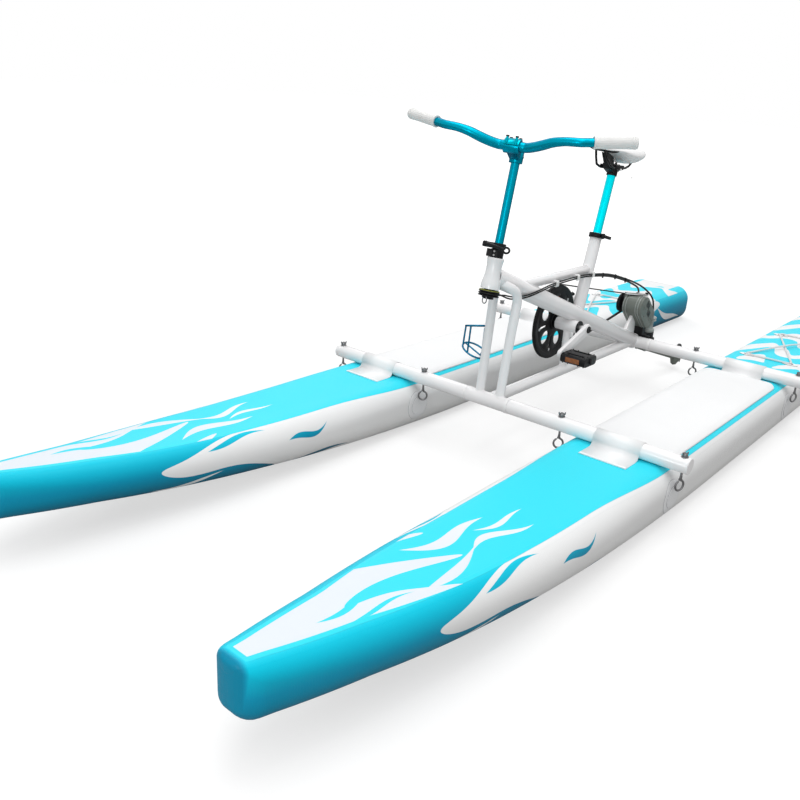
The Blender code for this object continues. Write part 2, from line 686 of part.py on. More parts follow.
def make_steering():
    bore = STEM_POST_RADIUS + GAP
    seat = HEAD_LENGTH + GAP
    collar_top = seat + COLLAR_HEIGHT
    profile = [
        (bore, PULLEY_PLACE - PULLEY_HEIGHT), (STEERER_RADIUS, PULLEY_PLACE - PULLEY_HEIGHT),
        (STEERER_RADIUS, seat), (COLLAR_RADIUS, seat), (COLLAR_RADIUS, collar_top), (
            STEERER_RADIUS, collar_top
        ),
        (STEERER_RADIUS, STEERER_TOP), (bore, STEERER_TOP),
    ]
    steerer = solid("steerer", turned(profile, 20, ring=True), BLACK, HEAD)
    block_turn = (0, 0, math.radians(221))
    clamp = block(
        (STEERER_RADIUS - 0.002, -0.010, seat + 0.0005), (COLLAR_RADIUS + 0.009, 0.010, collar_top - 0.001)
    )
    fuse(steerer, helper("collar_block", clamp, HEAD, (0, 0, 0), block_turn))

    hole, half = STEERER_RADIUS + GAP, PULLEY_HEIGHT / 2
    floor, mouth = CABLE_RING - CABLE_RADIUS - GAP, CABLE_RADIUS + 0.0022
    groove = [
        (hole, -half), (PULLEY_RADIUS, -half), (PULLEY_RADIUS, -mouth), (floor, -CABLE_RADIUS), (
            floor, CABLE_RADIUS
        ),
        (PULLEY_RADIUS, mouth), (PULLEY_RADIUS, half), (hole, half),
    ]
    solid("steering_pulley", turned(groove, ring=True), BLACK, HEAD, (0, 0, PULLEY_PLACE))

    height = STEERER_TOP - CLAMP_HEIGHT / 2 - 0.0002
    pin = (-0.024, -0.0262)
    clamp_ring("height_clamp", STEERER_RADIUS, BLACK, HEAD, height, pin)
    lever_with_ring("height_lever", CLAMP_LEVER_LENGTH, True, HEAD, (*pin, height), math.radians(-6))

    post = tube(
        STEM_POST_RADIUS, STEM_POST_RADIUS - STEM_POST_WALL,
        STEM_POST_TOP - STEM_POST_LENGTH, STEM_POST_TOP, 20
    )
    solid("stem_post", post, ANODISED, HELM)
    make_stem()
    make_handlebar()


def make_stem():
    bar = (0, -BAR_FORWARD, BAR_HEIGHT)
    wide = STEM_JAW_WIDTH / 2
    low, high = BAR_HEIGHT - 0.034, BAR_HEIGHT + 0.0005
    stem = solid("stem", rod(STEM_POST_RADIUS + 0.006, low, high), ANODISED, HELM)
    arm = prism([(-0.002, low + 0.002), (-0.002, high - 0.006), (-BAR_FORWARD, BAR_HEIGHT - 0.002),
                 (-BAR_FORWARD, BAR_HEIGHT - 0.016)], -0.013, 0.013)
    arm = helper("stem_arm", arm, HELM)
    jaw = helper("stem_jaw", rod(STEM_JAW_RADIUS, -wide, wide), HELM, bar, UP_Z_TO_X)
    above = block(
        (-0.05, -BAR_FORWARD - 0.03, BAR_HEIGHT - 0.001), (0.05, -BAR_FORWARD + 0.0235, BAR_HEIGHT + 0.05)
    )
    above = helper("stem_above", above, HELM)
    post_bore = helper("stem_bore", rod(STEM_POST_RADIUS + GAP, low - 0.01, STEM_POST_TOP + GAP), HELM)
    bar_bore = helper("bar_bore", rod(BAR_RADIUS + GAP, -0.05, 0.05), HELM, bar, UP_Z_TO_X)
    cut(fuse(stem, arm, jaw), above, post_bore, bar_bore)

    plate = solid("faceplate", rod(STEM_JAW_RADIUS, -wide, wide), ANODISED_LIGHT, HELM, bar, UP_Z_TO_X)
    below = block(
        (-0.05, -BAR_FORWARD - 0.05, BAR_HEIGHT - 0.05), (0.05, -BAR_FORWARD + 0.05, BAR_HEIGHT + 0.001)
    )
    below = helper("plate_below", below, HELM)
    bolts = []
    for i, (x, y) in enumerate(((-0.012, -0.016), (0.012, -0.016), (-0.012, 0.016), (0.012, 0.016))):
        bolts.append(helper(f"bolt_{i}", rod(0.0035, 0.002, 0.019, 8), HELM, (x, -BAR_FORWARD + y, BAR_HEIGHT)))
    cut(fuse(plate, *bolts), below, bar_bore)


def make_handlebar():
    """A riser bar, thick in the stem and thinner outside it; the grips lie on its straight ends."""
    thick, thin = BAR_RADIUS, BAR_END_RADIUS
    bend, end = Vector(BAR_BEND), Vector(BAR_END)
    outward = (end - bend).normalized()
    side = [
        (0.022, 0.0, 0.0, thick), (0.036, 0.0, 0.0, thick), (0.056, -0.010, 0.0030, thick), (
            0.080, -0.022, 0.0090, thick
        ),
        (0.105, -0.032, 0.0165, 0.0114), (0.135, -0.0365, 0.0218, thin), (*bend, thin), (
            *(bend + outward * 0.02), thin
        ),
    ]
    half = [Vector(station) for station in side]
    mirrored = [Vector((-p[0], *p[1:])) for p in reversed(half)]
    route = smooth(mirrored + [Vector((0, 0, 0, thick))] + half, 2)
    tip = Vector((*end, thin))
    route = [Vector((-tip[0], *tip[1:]))] + route + [tip]
    bar = swept([p.xyz for p in route], thick, 10, radii=[p[3] for p in route])
    place = Vector((0, -BAR_FORWARD, BAR_HEIGHT))
    solid("handlebar", bar, ANODISED, HELM, place)
    bore = thin + GAP
    low, high = 0.003 - GRIP_LENGTH, 0.003
    profile = [
        (bore, low), (GRIP_RADIUS + 0.0007, low), (GRIP_RADIUS + 0.0007, low + 0.005), (
            GRIP_RADIUS, low + 0.007
        ),
        (GRIP_RADIUS, high - 0.010), (GRIP_RADIUS + 0.0007, high - 0.008), (GRIP_RADIUS, high - 0.001),
        (GRIP_RADIUS - 0.003, high), (0, high), (0, GAP), (bore, GAP),
    ]
    grip = solid("grip_left", turned(profile, 16, ring=True), GRIP, HELM, place + end)
    grip.rotation_euler = outward.to_track_quat("Z", "Y").to_euler()
    other = Vector((-outward.x, outward.y, outward.z)).to_track_quat("Z", "Y").to_euler()
    link("grip_right", grip.data, HELM, place + Vector((-end.x, end.y, end.z)), other)


def saddle_ring(share):
    """The saddle's section at a share of its length from the nose."""
    nose_y, nose_top = SADDLE_NOSE
    width = 0.016 + 0.063 * max(0.0, (share - 0.22) / 0.78) ** 1.3
    rounding = math.sqrt(max(0.0, 1 - (max(0.0, share - 0.80) / 0.205) ** 2))
    nose = math.sqrt(min(1.0, (share + 0.015) / 0.09))
    half = width * rounding * nose
    top = nose_top - 0.006 * math.sin(math.pi * share) - 0.012 * share + 0.006 * share**3
    skirt = min(1.0, max(0.0, (share - 0.36) / 0.36))
    depth = (0.015 + 0.033 * skirt * skirt * (3 - 2 * skirt)) * (0.35 + 0.65 * min(rounding, nose))
    ring = []
    for i in range(16):
        angle = math.tau * i / 16
        across = math.copysign(abs(math.cos(angle)) ** 0.8, math.cos(angle))
        ring.append(
            (across * half, nose_y + SADDLE_LENGTH * share, top - depth / 2 + math.sin(angle) * depth / 2)
        )
    return ring


def make_seat():
    post = tube(SEATPOST_RADIUS, SEATPOST_RADIUS - SEATPOST_WALL, -SEATPOST_INSERTION, SEATPOST_RISE, 20)
    solid("seatpost", post, ANODISED, SEAT)
    pin = (0.0298, -0.014)
    height = -0.0005 - CLAMP_HEIGHT / 2
    clamp_ring("seat_collar", SEAT_TUBE_RADIUS, BLACK, SEAT, height, pin)
    lever_with_ring("seat_lever", 0.048, False, SEAT, (*pin, height), math.radians(86))

    saddle = [saddle_ring(share) for share in (0.0, 0.03, 0.09, 0.2, 0.35, 0.5, 0.65, 0.8, 0.9, 0.96, 1.0)]
    solid("saddle", lofted(saddle), SADDLE_WHITE, BASE)

    foot = SEATPOST_RISE - 0.013
    clamp = solid("saddle_clamp", rod(SEATPOST_RADIUS + 0.003, foot, SEATPOST_RISE + 0.014, 20), BLACK, SEAT)
    post_bore = helper("clamp_bore", rod(SEATPOST_RADIUS + GAP, foot - 0.05, SEATPOST_RISE + GAP, 20), SEAT)
    cradle = [(0.530, 0.588), (0.508, 0.600), (0.500, 0.616), (0.560, 0.612), (0.578, 0.604), (0.566, 0.591)]
    yoke = [(0.515, 0.599), (0.512, 0.612), (0.566, 0.609), (0.562, 0.596)]
    wedge = [(0.472, 0.655), (0.512, 0.655), (0.535, 0.606), (0.506, 0.606)]
    parts = [
        helper("clamp_cradle", prism(cradle, -0.012, 0.012), BASE),
        helper("clamp_yoke", prism(yoke, -0.026, 0.026), BASE),
        helper("clamp_wedge", prism(wedge, -0.009, 0.009), BASE),
    ]
    for side in (-1, 1):
        x = side * RAIL_SPREAD
        rail = [(x * 0.6, 0.450, 0.656), (x * 0.75, 0.462, 0.634), (x, 0.482, 0.612), (x, 0.505, 0.604),
                (x, 0.580, 0.601), (x, 0.602, 0.606), (x * 1.1, 0.626, 0.624)]
        parts.append(helper(f"saddle_rail_{side}", swept(rail, SEAT_RAIL_RADIUS, 6), BASE))
    cut(fuse(clamp, *parts), post_bore, helper("clear_saddle", lofted([grown(r) for r in saddle]), BASE))


def grown(ring):
    """A saddle section a gap larger all round."""
    middle = sum((Vector(p) for p in ring), Vector()) / len(ring)
    out = []
    for point in ring:
        away = Vector(point) - middle
        out.append(tuple(Vector(point) + away.normalized() * GAP * 1.5))
    return out


def crank_outline():
    return strap_outline((0, 0), 0.017, (CRANK_LENGTH, 0), 0.012, 8)


def make_crankset():
    low, high = CRANK_OFFSET, CRANK_OFFSET + CRANK_THICKNESS
    pedal_end = high + PEDAL_STANDOFF + 0.003 + PEDAL_WIDTH
    centre = (0, *BRACKET_PLACE)
    for side, sign, turn in (("left", 1, math.pi + CRANK_SLOPE), ("right", -1, CRANK_SLOPE)):
        spans = sorted((sign * low, sign * high))
        arm = solid(
            f"crank_{side}", prism(crank_outline(), *spans), CRANK_WHITE, CRANK, (0, 0, 0), (turn, 0, 0)
        )
        ends = sorted((sign * (high - 0.002), sign * pedal_end))
        place = (0, CRANK_LENGTH * math.cos(turn), CRANK_LENGTH * math.sin(turn))
        stub = helper(f"pedal_axle_{side}", rod(PEDAL_AXLE_RADIUS, *ends, 16), CRANK, place, UP_Z_TO_X)
        fuse(arm, stub)
        if side == "left":
            cut(arm, helper("crank_bore", rod(AXLE_RADIUS + GAP, 0.04, 0.09), CRANK, (0, 0, 0), UP_Z_TO_X))
        else:
            axle = rod(AXLE_RADIUS, -low - 0.001, high + 0.001)
            fuse(arm, helper("crank_axle", axle, CRANK, (0, 0, 0), UP_Z_TO_X))
    ring = turned([
        (0.094, -0.003), (CHAINRING_RADIUS - 0.002, -0.003), (CHAINRING_RADIUS, -BELT_WIDTH / 2),
        (CHAINRING_RADIUS, BELT_WIDTH / 2), (0.108, 0.003), (0.094, 0.003),
    ], 32, ring=True)
    chainring = solid("chainring", ring, BLACK, CRANK, (BELT_PLANE, 0, 0), UP_Z_TO_X)
    parts = [helper("hub", rod(0.026, -0.0075, 0.0075, 16), CRANK, (BELT_PLANE, 0, 0), UP_Z_TO_X)]
    for i in range(CHAINRING_SPOKES):
        angle = math.tau * (i + 0.35) / CHAINRING_SPOKES
        spoke = prism([(0.010, -0.016), (0.055, -0.008), (0.098, -0.017),
        (0.098, 0.017), (0.055, 0.008), (0.010, 0.016)],
                      BELT_PLANE - 0.0028, BELT_PLANE + 0.0028)
        parts.append(helper(f"spoke_{i}", spoke, CRANK, (0, 0, 0), (angle, 0, 0)))
    hole = helper("chainring_bore", rod(AXLE_RADIUS + GAP, -0.02, 0.02), CRANK, (BELT_PLANE, 0, 0), UP_Z_TO_X)
    cut(fuse(chainring, *parts), hole)
    make_belt()
    make_pedals(high + PEDAL_STANDOFF)


def make_pedals(inner):
    """A platform on its axle's bearing sleeve, with a window at each side of it."""
    half_l, half_t = PEDAL_LENGTH / 2, PEDAL_THICKNESS / 2
    pedal = solid(
        "pedal_left", prism(rounded_box(half_l, half_t, 0.010, 3), inner, inner + PEDAL_WIDTH), PEDAL_BLACK
    )
    others = [
        helper("pedal_bore",
        rod(PEDAL_AXLE_RADIUS + GAP, 0.0, inner + PEDAL_WIDTH + 0.01, 16), turn=UP_Z_TO_X)
    ]
    for side in (-1, 1):
        near, far = sorted((side * 0.013, side * (half_l - 0.012)))
        window = block((inner + 0.012, near, -0.05), (inner + PEDAL_WIDTH - 0.012, far, 0.05))
        others.append(helper(f"window_{side}", window))
    settled(cut(pedal, *others), *others)
    pedal.parent = PEDAL_LEFT
    link("pedal_right", pedal.data, PEDAL_RIGHT, (0, 0, 0), (0, 0, math.pi))


def make_belt():
    """A toothless loop round the chainring and the small pulley, a gap off both rims."""
    inner = CHAINRING_RADIUS + GAP
    small = DRIVE_PULLEY_RADIUS + GAP
    grow = BELT_THICKNESS
    half = BELT_WIDTH / 2
    loop = prism(
        strap_outline(BRACKET_PLACE, inner + grow, DRIVE_CENTRE, small + grow, 26),
        BELT_PLANE - half, BELT_PLANE + half
    )
    inside = prism(
        strap_outline(BRACKET_PLACE, inner, DRIVE_CENTRE, small, 26), BELT_PLANE - 0.02, BELT_PLANE + 0.02
    )
    belt = solid("belt", loop, RUBBER, BASE)
    cut(belt, helper("belt_inside", inside, BASE))


def drive_outline(grow=0.0):
    return strap_outline(DRIVE_CENTRE, DRIVE_RADIUS + grow, DRIVE_TAIL, DRIVE_RADIUS + grow, 8)


def bevel_gear(shaft_end, steps=16):
    """A bevel gear on Z with its cone's point at the origin, and its shaft up to shaft_end."""
    slack = 1.5 * GAP
    return turned([
        (0, GEAR_INNER + slack), (GEAR_INNER - slack, GEAR_INNER + slack), (
            GEAR_OUTER - slack, GEAR_OUTER + slack
        ),
        (GEAR_OUTER - 0.006, GEAR_OUTER + 0.005), (SHAFT_RADIUS, GEAR_OUTER + 0.005), (SHAFT_RADIUS, shaft_end),
        (0, shaft_end),
    ], steps)


def make_drive():
    half = DRIVE_HALF_WIDTH
    centre = (0, *DRIVE_CENTRE)
    tail = toward(DRIVE_CENTRE, DRIVE_TAIL)
    housing = solid("drive_housing", prism(drive_outline(), -half, half), CAST_GREY, BASE)
    cavity = prism(drive_outline(-DRIVE_WALL), -half + DRIVE_WALL, half + 0.01)
    shaft_hole = helper("shaft_hole", rod(SHAFT_RADIUS + GAP, -0.06, 0), BASE, centre, UP_Z_TO_X)
    output_hole = helper("output_hole", rod(SHAFT_RADIUS + GAP, 0.05, 0.13), BASE, centre, along(tail))
    ears, ear_holes = [], []
    for side in (-1, 1):
        x = side * CABLE_END[0]
        near, far = sorted((side * 0.020, x))
        ear = block((near, 0.925, 0.080), (far, CABLE_END[1] + 0.006, CABLE_END[2] - GAP))
        ears.append(helper(f"stop_{side}", ear, BASE))
        knob = rod(0.006, CABLE_END[2] - 0.014, CABLE_END[2] - GAP, 12)
        ears.append(helper(f"stop_seat_{side}", knob, BASE, (x, CABLE_END[1], 0)))
    under = -LATCH_THICKNESS / 2 - GAP
    latch_boss = helper("latch_boss", rod(0.0058, under - 0.014, under, 16), LATCH)
    latch_pin = helper("latch_pin", rod(0.002, under - 0.002, LATCH_THICKNESS / 2 + 0.002, 12), LATCH)
    fuse(housing, *ears, latch_boss, latch_pin)
    cut(housing, helper("drive_cavity", cavity, BASE), shaft_hole, output_hole)

    low, high = half + GAP, half + COVER_THICKNESS
    cover = solid("drive_cover", prism(drive_outline(), low, high), CAST_LIGHT, BASE)
    bearing = helper("cover_bearing", rod(0.010, low - 0.006, high - 0.002), BASE, centre, UP_Z_TO_X)
    pocket = helper("cover_pocket", rod(SHAFT_RADIUS + GAP, 0.0, high - 0.003), BASE, centre, UP_Z_TO_X)
    vents = []
    for i in range(5):
        y, z = DRIVE_TAIL[0] - 0.020 + 0.009 * i, DRIVE_TAIL[1] + 0.012 - 0.007 * i
        vent = block((low - 0.01, -0.0015, -0.008), (high + 0.01, 0.0015, 0.008))
        vents.append(helper(f"vent_{i}", vent, BASE, (0, y, z), (math.radians(-25), 0, 0)))
    cut(fuse(cover, bearing), pocket, *vents)

    groove = BELT_WIDTH / 2 + 0.0006
    shaft = turned([
        (0, -0.060), (0.010, -0.060), (0.010, -0.057), (DRIVE_PULLEY_RADIUS, BELT_PLANE - groove),
        (DRIVE_PULLEY_RADIUS, BELT_PLANE + groove), (0.012, BELT_PLANE + groove + 0.003), (
            SHAFT_RADIUS, -half - 0.003
        ),
        (SHAFT_RADIUS, high - 0.0035), (0, high - 0.0035),
    ], 24)
    pulley = solid("drive_pulley", shaft, BLACK, DRIVE, (0, 0, 0), UP_Z_TO_X)
    cone = helper("input_gear", bevel_gear(GEAR_OUTER + 0.0055), DRIVE, (0, 0, 0), UP_Z_TO_MINUS_X)
    fuse(pulley, cone)
    end = tail.length + DRIVE_RADIUS
    gear = solid("output_gear", bevel_gear(end - 0.0005), STEEL, DRIVE, (0, 0, 0), along(tail))

    wide, thick = LATCH_WIDTH / 2, LATCH_THICKNESS / 2
    bar = strap_outline((0, 0), wide, (LATCH_LENGTH - LATCH_WIDTH, 0), wide, 6)
    latch = solid("drive_latch", prism(bar, -thick, thick, "Z"), STEEL_LIGHT, LATCH)
    cut(latch, helper("latch_hole", rod(0.002 + GAP, -0.02, 0.02, 12), LATCH))
    make_cradle()


def make_cradle():
    """The black bracket behind the rear crossmember: it carries the case on top and the swivel in its ring."""
    half = CROSS_RADIUS + GAP
    back = CROSS_SPACING + CROSS_RADIUS + GAP
    plate = block((-0.045, back, -0.012), (0.045, back + 0.018, CRADLE_TOP))
    cradle = solid("drive_cradle", plate, BLACK, BASE)
    ring = helper("cradle_ring", rod(CRADLE_RING_RADIUS, -0.012, CRADLE_TOP), BASE, (0, SWIVEL_Y, 0))
    arm = helper("cradle_arm", block((-0.020, back + 0.01, -0.012), (0.020, SWIVEL_Y - 0.01, CRADLE_TOP)), BASE)
    seat = helper(
        "cradle_seat", block((-0.022, back, 0.010), (0.022, back + 0.024, DRIVE_TAIL[1] - 0.020)), BASE
    )
    knobs = []
    for x, z in ((-0.052, 0.036), (0.056, 0.040)):
        stem_low, stem_high = sorted((x, math.copysign(0.035, x)))
        knobs.append(
            helper("knob_stem", rod(0.004, stem_low, stem_high, 10),
            BASE, (0, back + 0.010, 0.012), UP_Z_TO_X)
        )
        knobs.append(
            helper("knob", rod(0.009, x - 0.006, x + 0.006, 12), BASE, (0, back + 0.010, 0.012), UP_Z_TO_X)
        )
    bore = helper("cradle_bore", rod(SWIVEL_RADIUS + GAP, -0.1, 0.1), BASE, (0, SWIVEL_Y, 0))
    case = helper("clear_case_low", prism(drive_outline(GAP), -0.05, 0.05), BASE)
    tube_room = helper("cradle_tube_room", rod(half, -0.1, 0.1), BASE, (0, *REAR), UP_Z_TO_X)
    cut(fuse(cradle, ring, arm, seat, *knobs), bore, case, tube_room)


def make_propulsion():
    sheave = CRADLE_TOP + GAP
    neck = SWIVEL_RADIUS
    profile = [
        (0, -0.030), (neck, -0.030), (neck, sheave), (CRADLE_RING_RADIUS, sheave), (
            CRADLE_RING_RADIUS, sheave + 0.008
        ),
        (neck + 0.003, sheave + 0.012), (neck + 0.003, 0.058), (SHEAVE_RADIUS, 0.060), (SHEAVE_RADIUS, 0.063),
        (SHEAVE_RADIUS - 0.004, 0.066), (SHEAVE_RADIUS, 0.069), (SHEAVE_RADIUS, 0.072), (neck, 0.075),
        (neck, SWIVEL_TOP - 0.006), (neck - 0.006, SWIVEL_TOP), (0, SWIVEL_TOP),
    ]
    swivel = solid("steering_swivel", turned(profile, 18), CAST_LIGHT, SWIVEL)
    fork = helper("fork", block((-0.0212, -0.0138, LEG_PIVOT_Z - 0.012), (0.0212, 0.0138, -0.0125)), SWIVEL)
    slot = block((-0.0128, -0.05, LEG_PIVOT_Z - 0.06), (0.0128, 0.05, LEG_PIVOT_Z + 0.0165))
    slot = helper("fork_slot", slot, SWIVEL)
    pin = helper("tilt_pin", rod(0.004, -0.0195, 0.0195, 12), SWIVEL, (0, 0, LEG_PIVOT_Z), UP_Z_TO_X)
    fuse(cut(fuse(swivel, fork), slot), pin)

    head = solid("propeller_leg", rod(0.0145, -0.0125, 0.0125, 16), CAST_GREY, TILT, (0, 0, 0), UP_Z_TO_X)
    shank = helper("shank", rod(PROP_LEG_RADIUS - 0.003, -PROP_LEG_LENGTH, 0, 12), TILT)
    bulb = turned([
        (0, -0.034), (0.010, -0.029), (PROP_BULB_RADIUS, -0.012), (PROP_BULB_RADIUS, 0.008), (0.011, 0.018), (
            0, 0.018
        ),
    ], 12)
    foot = (0, 0, -PROP_LEG_LENGTH)
    bulb = helper("bulb", bulb, TILT, foot, along((1, 0)))
    fin_low = -PROP_LEG_LENGTH - 0.040
    fin = prism([(0.0, -PROP_LEG_LENGTH), (-0.016, fin_low), (0.012, fin_low)], -0.002, 0.002)
    fin = helper("skeg", fin, TILT)
    pin_hole = helper("tilt_bore", rod(0.004 + GAP, -0.05, 0.05, 12), TILT, (0, 0, 0), UP_Z_TO_X)
    shaft_hole = helper("prop_bore", rod(0.004 + GAP, 0.002, 0.05, 12), TILT, foot, along((1, 0)))
    cut(fuse(head, shank, bulb, fin), pin_hole, shaft_hole)

    hub_low = 0.018 + GAP
    hub = turned([
        (0, 0.003), (0.004, 0.003), (0.004, hub_low), (0.0115, hub_low), (0.0115, 0.040), (0.006, 0.050), (
            0, 0.052
        ),
    ], 12)
    propeller = solid("propeller", hub, PROP_BLACK, PROP, (0, 0, 0), along((1, 0)))
    fuse(propeller, *(helper(f"blade_{sign}", blade(sign), PROP) for sign in (1, -1)))


def blade(sign):
    """One twisted blade along X, thin at its tip."""
    rings = []
    for share in (0.0, 0.3, 0.6, 0.85, 1.0):
        radius = 0.006 + (PROP_RADIUS - 0.006) * share
        chord = PROP_CHORD * (0.5 + 0.5 * math.sin(math.pi * (0.15 + 0.6 * share))) * (
            0.55 if share == 1 else 1
        )
        pitch = math.radians(56 - 32 * share)
        thick = 0.0045 - 0.0025 * share
        section = ((-0.5, 0), (-0.1, -0.5), (0.5, 0), (-0.1, 0.5))
        rings.append([
            (
                sign * radius,
                PROP_OFFSET + u * chord * math.sin(pitch) + v * thick * math.cos(pitch),
                sign * (u * chord * math.cos(pitch) - v * thick * math.sin(pitch)),
            )
            for u, v in section
        ])
    return lofted(rings)


def head_point(x, back, height):
    """A point given across, behind and up the steering axis."""
    return Vector((x, *HEAD_FOOT)) + Matrix.Rotation(-HEAD_LEAN, 3, "X") @ Vector((0, back, height))


def make_cable():
    """One cable: from a stop on the case forward, once round the pulley's front, and back to the other stop."""
    wrap = [
        head_point(CABLE_RING * math.cos(a), CABLE_RING * math.sin(a), PULLEY_PLACE)
        for a in [math.radians(10 - 20 * i) for i in range(11)]
    ]
    lane = CABLE_LANE
    aft = [
        (0.0190, -0.002, 0.2970), (0.0150, 0.022, 0.2905), (0.0150, 0.048, 0.2850), (0.0220, 0.078, 0.2835),
        (0.0285, 0.108, 0.2860), (0.0290, 0.150, 0.2900), (0.0260, 0.195, 0.2935), (lane, 0.250, 0.2960),
        (lane, 0.388, 0.2990), (lane, 0.480, 0.2930), (lane, 0.590, 0.2780), (0.0205, 0.706, 0.2495),
        (0.0200, 0.810, 0.2180), (0.0210, 0.890, 0.1850), (0.0260, 0.940, 0.1500),
    ]
    drop = 2 * CABLE_RADIUS + 2 * GAP
    other = [(x, y, z - drop) for x, y, z in aft[3:-3]]
    other = [(-0.0190, -0.002, 0.2970), (-0.0130, 0.022, 0.2890), (0.0020, 0.052, 0.2760)] + other
    other += [(0.0080, 0.815, 0.2110), (-0.0100, 0.890, 0.1840), (-0.0260, 0.940, 0.1500)]
    end = Vector(CABLE_END)
    left_end = [end + Vector((0, 0, 0.020)), end]
    right_end = [Vector((-p.x, p.y, p.z)) for p in left_end]
    left = smooth([wrap[0]] + [Vector(p) for p in aft] + left_end, 2)[1:]
    right = smooth([wrap[-1]] + [Vector(p) for p in other] + right_end, 2)[1:]
    route = list(reversed(left)) + wrap + right
    solid("steering_cable", swept(route, CABLE_RADIUS, 4), CABLE_BLACK, BASE)


def make_bottle_cage():
    """A wire cage on the far leg: two hoops, three wires between them, and a strip on the leg."""
    x, y, top = CAGE_HOOP
    hoop, steps = [], 16
    for i in range(steps):
        angle = math.tau * i / steps
        across, forth = CAGE_RADIUS * math.cos(angle), CAGE_RADIUS * math.sin(angle)
        hoop.append((x + across, y + forth, top + 0.29 * across - 0.26 * forth))
    cage = solid("bottle_cage", swept(hoop, CAGE_WIRE, 6, closed=True), ANODISED_DARK, BASE)
    low = top - CAGE_DROP
    lean = -0.11 * CAGE_DROP
    lower = [(px, py + lean, low) for px, py in arc((x, y), CAGE_RADIUS, 0, math.tau * 15 / 16, 15)]
    parts = [helper("cage_loop", swept(lower, CAGE_WIRE, 6, closed=True), BASE)]
    for i in (3, 9, 12):
        parts.append(helper(f"cage_wire_{i}", swept([lower[i], hoop[i]], CAGE_WIRE * 0.96, 6), BASE))
    cross = block(
        (x - CAGE_RADIUS, y + lean - 0.0052, low - 0.0019),
        (x + CAGE_RADIUS, y + lean + 0.0047, low + 0.0012)
    )
    parts.append(helper("cage_floor", cross, BASE))
    strip_x = x + CAGE_RADIUS - CAGE_WIRE
    strip = [
        (y - 0.026, low - 0.040), (y - 0.006, low - 0.036),
        (y + 0.003, top + 0.006), (y - 0.017, top + 0.004)
    ]
    parts.append(helper("cage_strip", prism(strip, strip_x, strip_x + 0.0045), BASE))
    for z in (low - 0.010, top - 0.018):
        boss = rod(0.005, strip_x + 0.002, -LEG_SPREAD, 8)
        parts.append(helper("cage_boss", boss, BASE, (0, 0.0035 + 0.11 * z, z), UP_Z_TO_X))
    route = [(-LEG_SPREAD, 0.003, 0.004), (-LEG_SPREAD, 0.018, 0.140), (-LEG_SPREAD, 0.033, 0.265)]
    cut(fuse(cage, *parts), helper("clear_leg", swept(route, LEG_RADIUS + GAP, 16), BASE))


# Finishes, with the photograph's colours
clear_scene()
PVC = look("pvc_fabric", (0.86, 0.88, 0.88), 0.35)
EVA = look("eva_foam", (0.88, 0.88, 0.87), 0.75)
CORD_WHITE = look("bungee_cord", (0.85, 0.85, 0.85), 0.7)
FRAME_WHITE = look("white_powder_coat", (0.86, 0.86, 0.87), 0.25)
STEEL = look("zinc_steel", (0.42, 0.42, 0.43), 0.35, 1.0)
STEEL_LIGHT = look("bright_steel", (0.7, 0.7, 0.7), 0.3, 1.0)
BLACK = look("black_alloy", (0.02, 0.02, 0.022), 0.4)
ANODISED = look("turquoise_anodised", (0.0, 0.36, 0.48), 0.25, 0.8)
ANODISED_LIGHT = look("light_turquoise_anodised", (0.0, 0.6, 0.65), 0.25, 0.7)
ANODISED_DARK = look("dark_turquoise_anodised", (0.02, 0.17, 0.26), 0.3, 0.8)
GRIP = look("white_rubber", (0.78, 0.78, 0.76), 0.6)
SADDLE_WHITE = look("white_vinyl", (0.86, 0.86, 0.85), 0.4)
CRANK_WHITE = look("white_crank_paint", (0.84, 0.84, 0.85), 0.3)
PEDAL_BLACK = look("black_pedal_plastic", (0.02, 0.02, 0.025), 0.5)
RUBBER = look("belt_rubber", (0.015, 0.015, 0.015), 0.7)
CAST_GREY = look("grey_cast_paint", (0.28, 0.30, 0.29), 0.45)
CAST_LIGHT = look("light_grey_paint", (0.42, 0.45, 0.45), 0.4)
PROP_BLACK = look("propeller_plastic", (0.03, 0.03, 0.03), 0.45)
CABLE_BLACK = look("cable_jacket", (0.015, 0.015, 0.015), 0.4)

# Places that several pieces share
PULLEY_PLACE = -PULLEY_HEIGHT / 2 - PULLEY_DROP
CABLE_RING = PULLEY_RADIUS - 0.002
CABLE_LANE = 0.0215
CABLE_END = (0.028, 0.957, 0.0925)
CLIPS = ((0.260, 0.2935), (0.380, 0.2960))
LATCH_Z = DRIVE_CENTRE[1] + DRIVE_RADIUS + GAP + LATCH_THICKNESS / 2

# Axes: the frame's datum, then one empty on each joint's axis
BASE = empty("front_tube_axis", (0, FRONT_Y, TUBE_Z))
HEAD = empty("steering_axis", (0, *HEAD_FOOT), (-HEAD_LEAN, 0, 0), BASE)
HELM = empty("helm", (0, 0, 0), (0, 0, STEER_REST), HEAD)
SEAT = empty("seat_axis", (0, *SEAT_TOP), (-SEAT_LEAN, 0, 0), BASE)
CRANK = empty("crank_axis", (0, *BRACKET_PLACE), (0, 0, 0), BASE)
PEDAL_REACH = (CRANK_LENGTH * math.cos(CRANK_SLOPE), CRANK_LENGTH * math.sin(CRANK_SLOPE))
PEDAL_LEFT = empty("pedal_axis_left", (0, -PEDAL_REACH[0], -PEDAL_REACH[1]), (0, 0, 0), CRANK)
PEDAL_RIGHT = empty("pedal_axis_right", (0, *PEDAL_REACH), (0, 0, 0), CRANK)
DRIVE = empty("drive_axis", (0, *DRIVE_CENTRE), (0, 0, 0), BASE)
LATCH_REACH = (LATCH_LENGTH - LATCH_WIDTH) / 2
LATCH_ALONG = Vector((math.cos(LATCH_TURN), math.sin(LATCH_TURN), 0.0))
LATCH_PLACE = Vector((0, DRIVE_CENTRE[0], LATCH_Z)) - LATCH_REACH * LATCH_ALONG
LATCH = empty("latch_axis", LATCH_PLACE, (0, 0, LATCH_TURN), BASE)
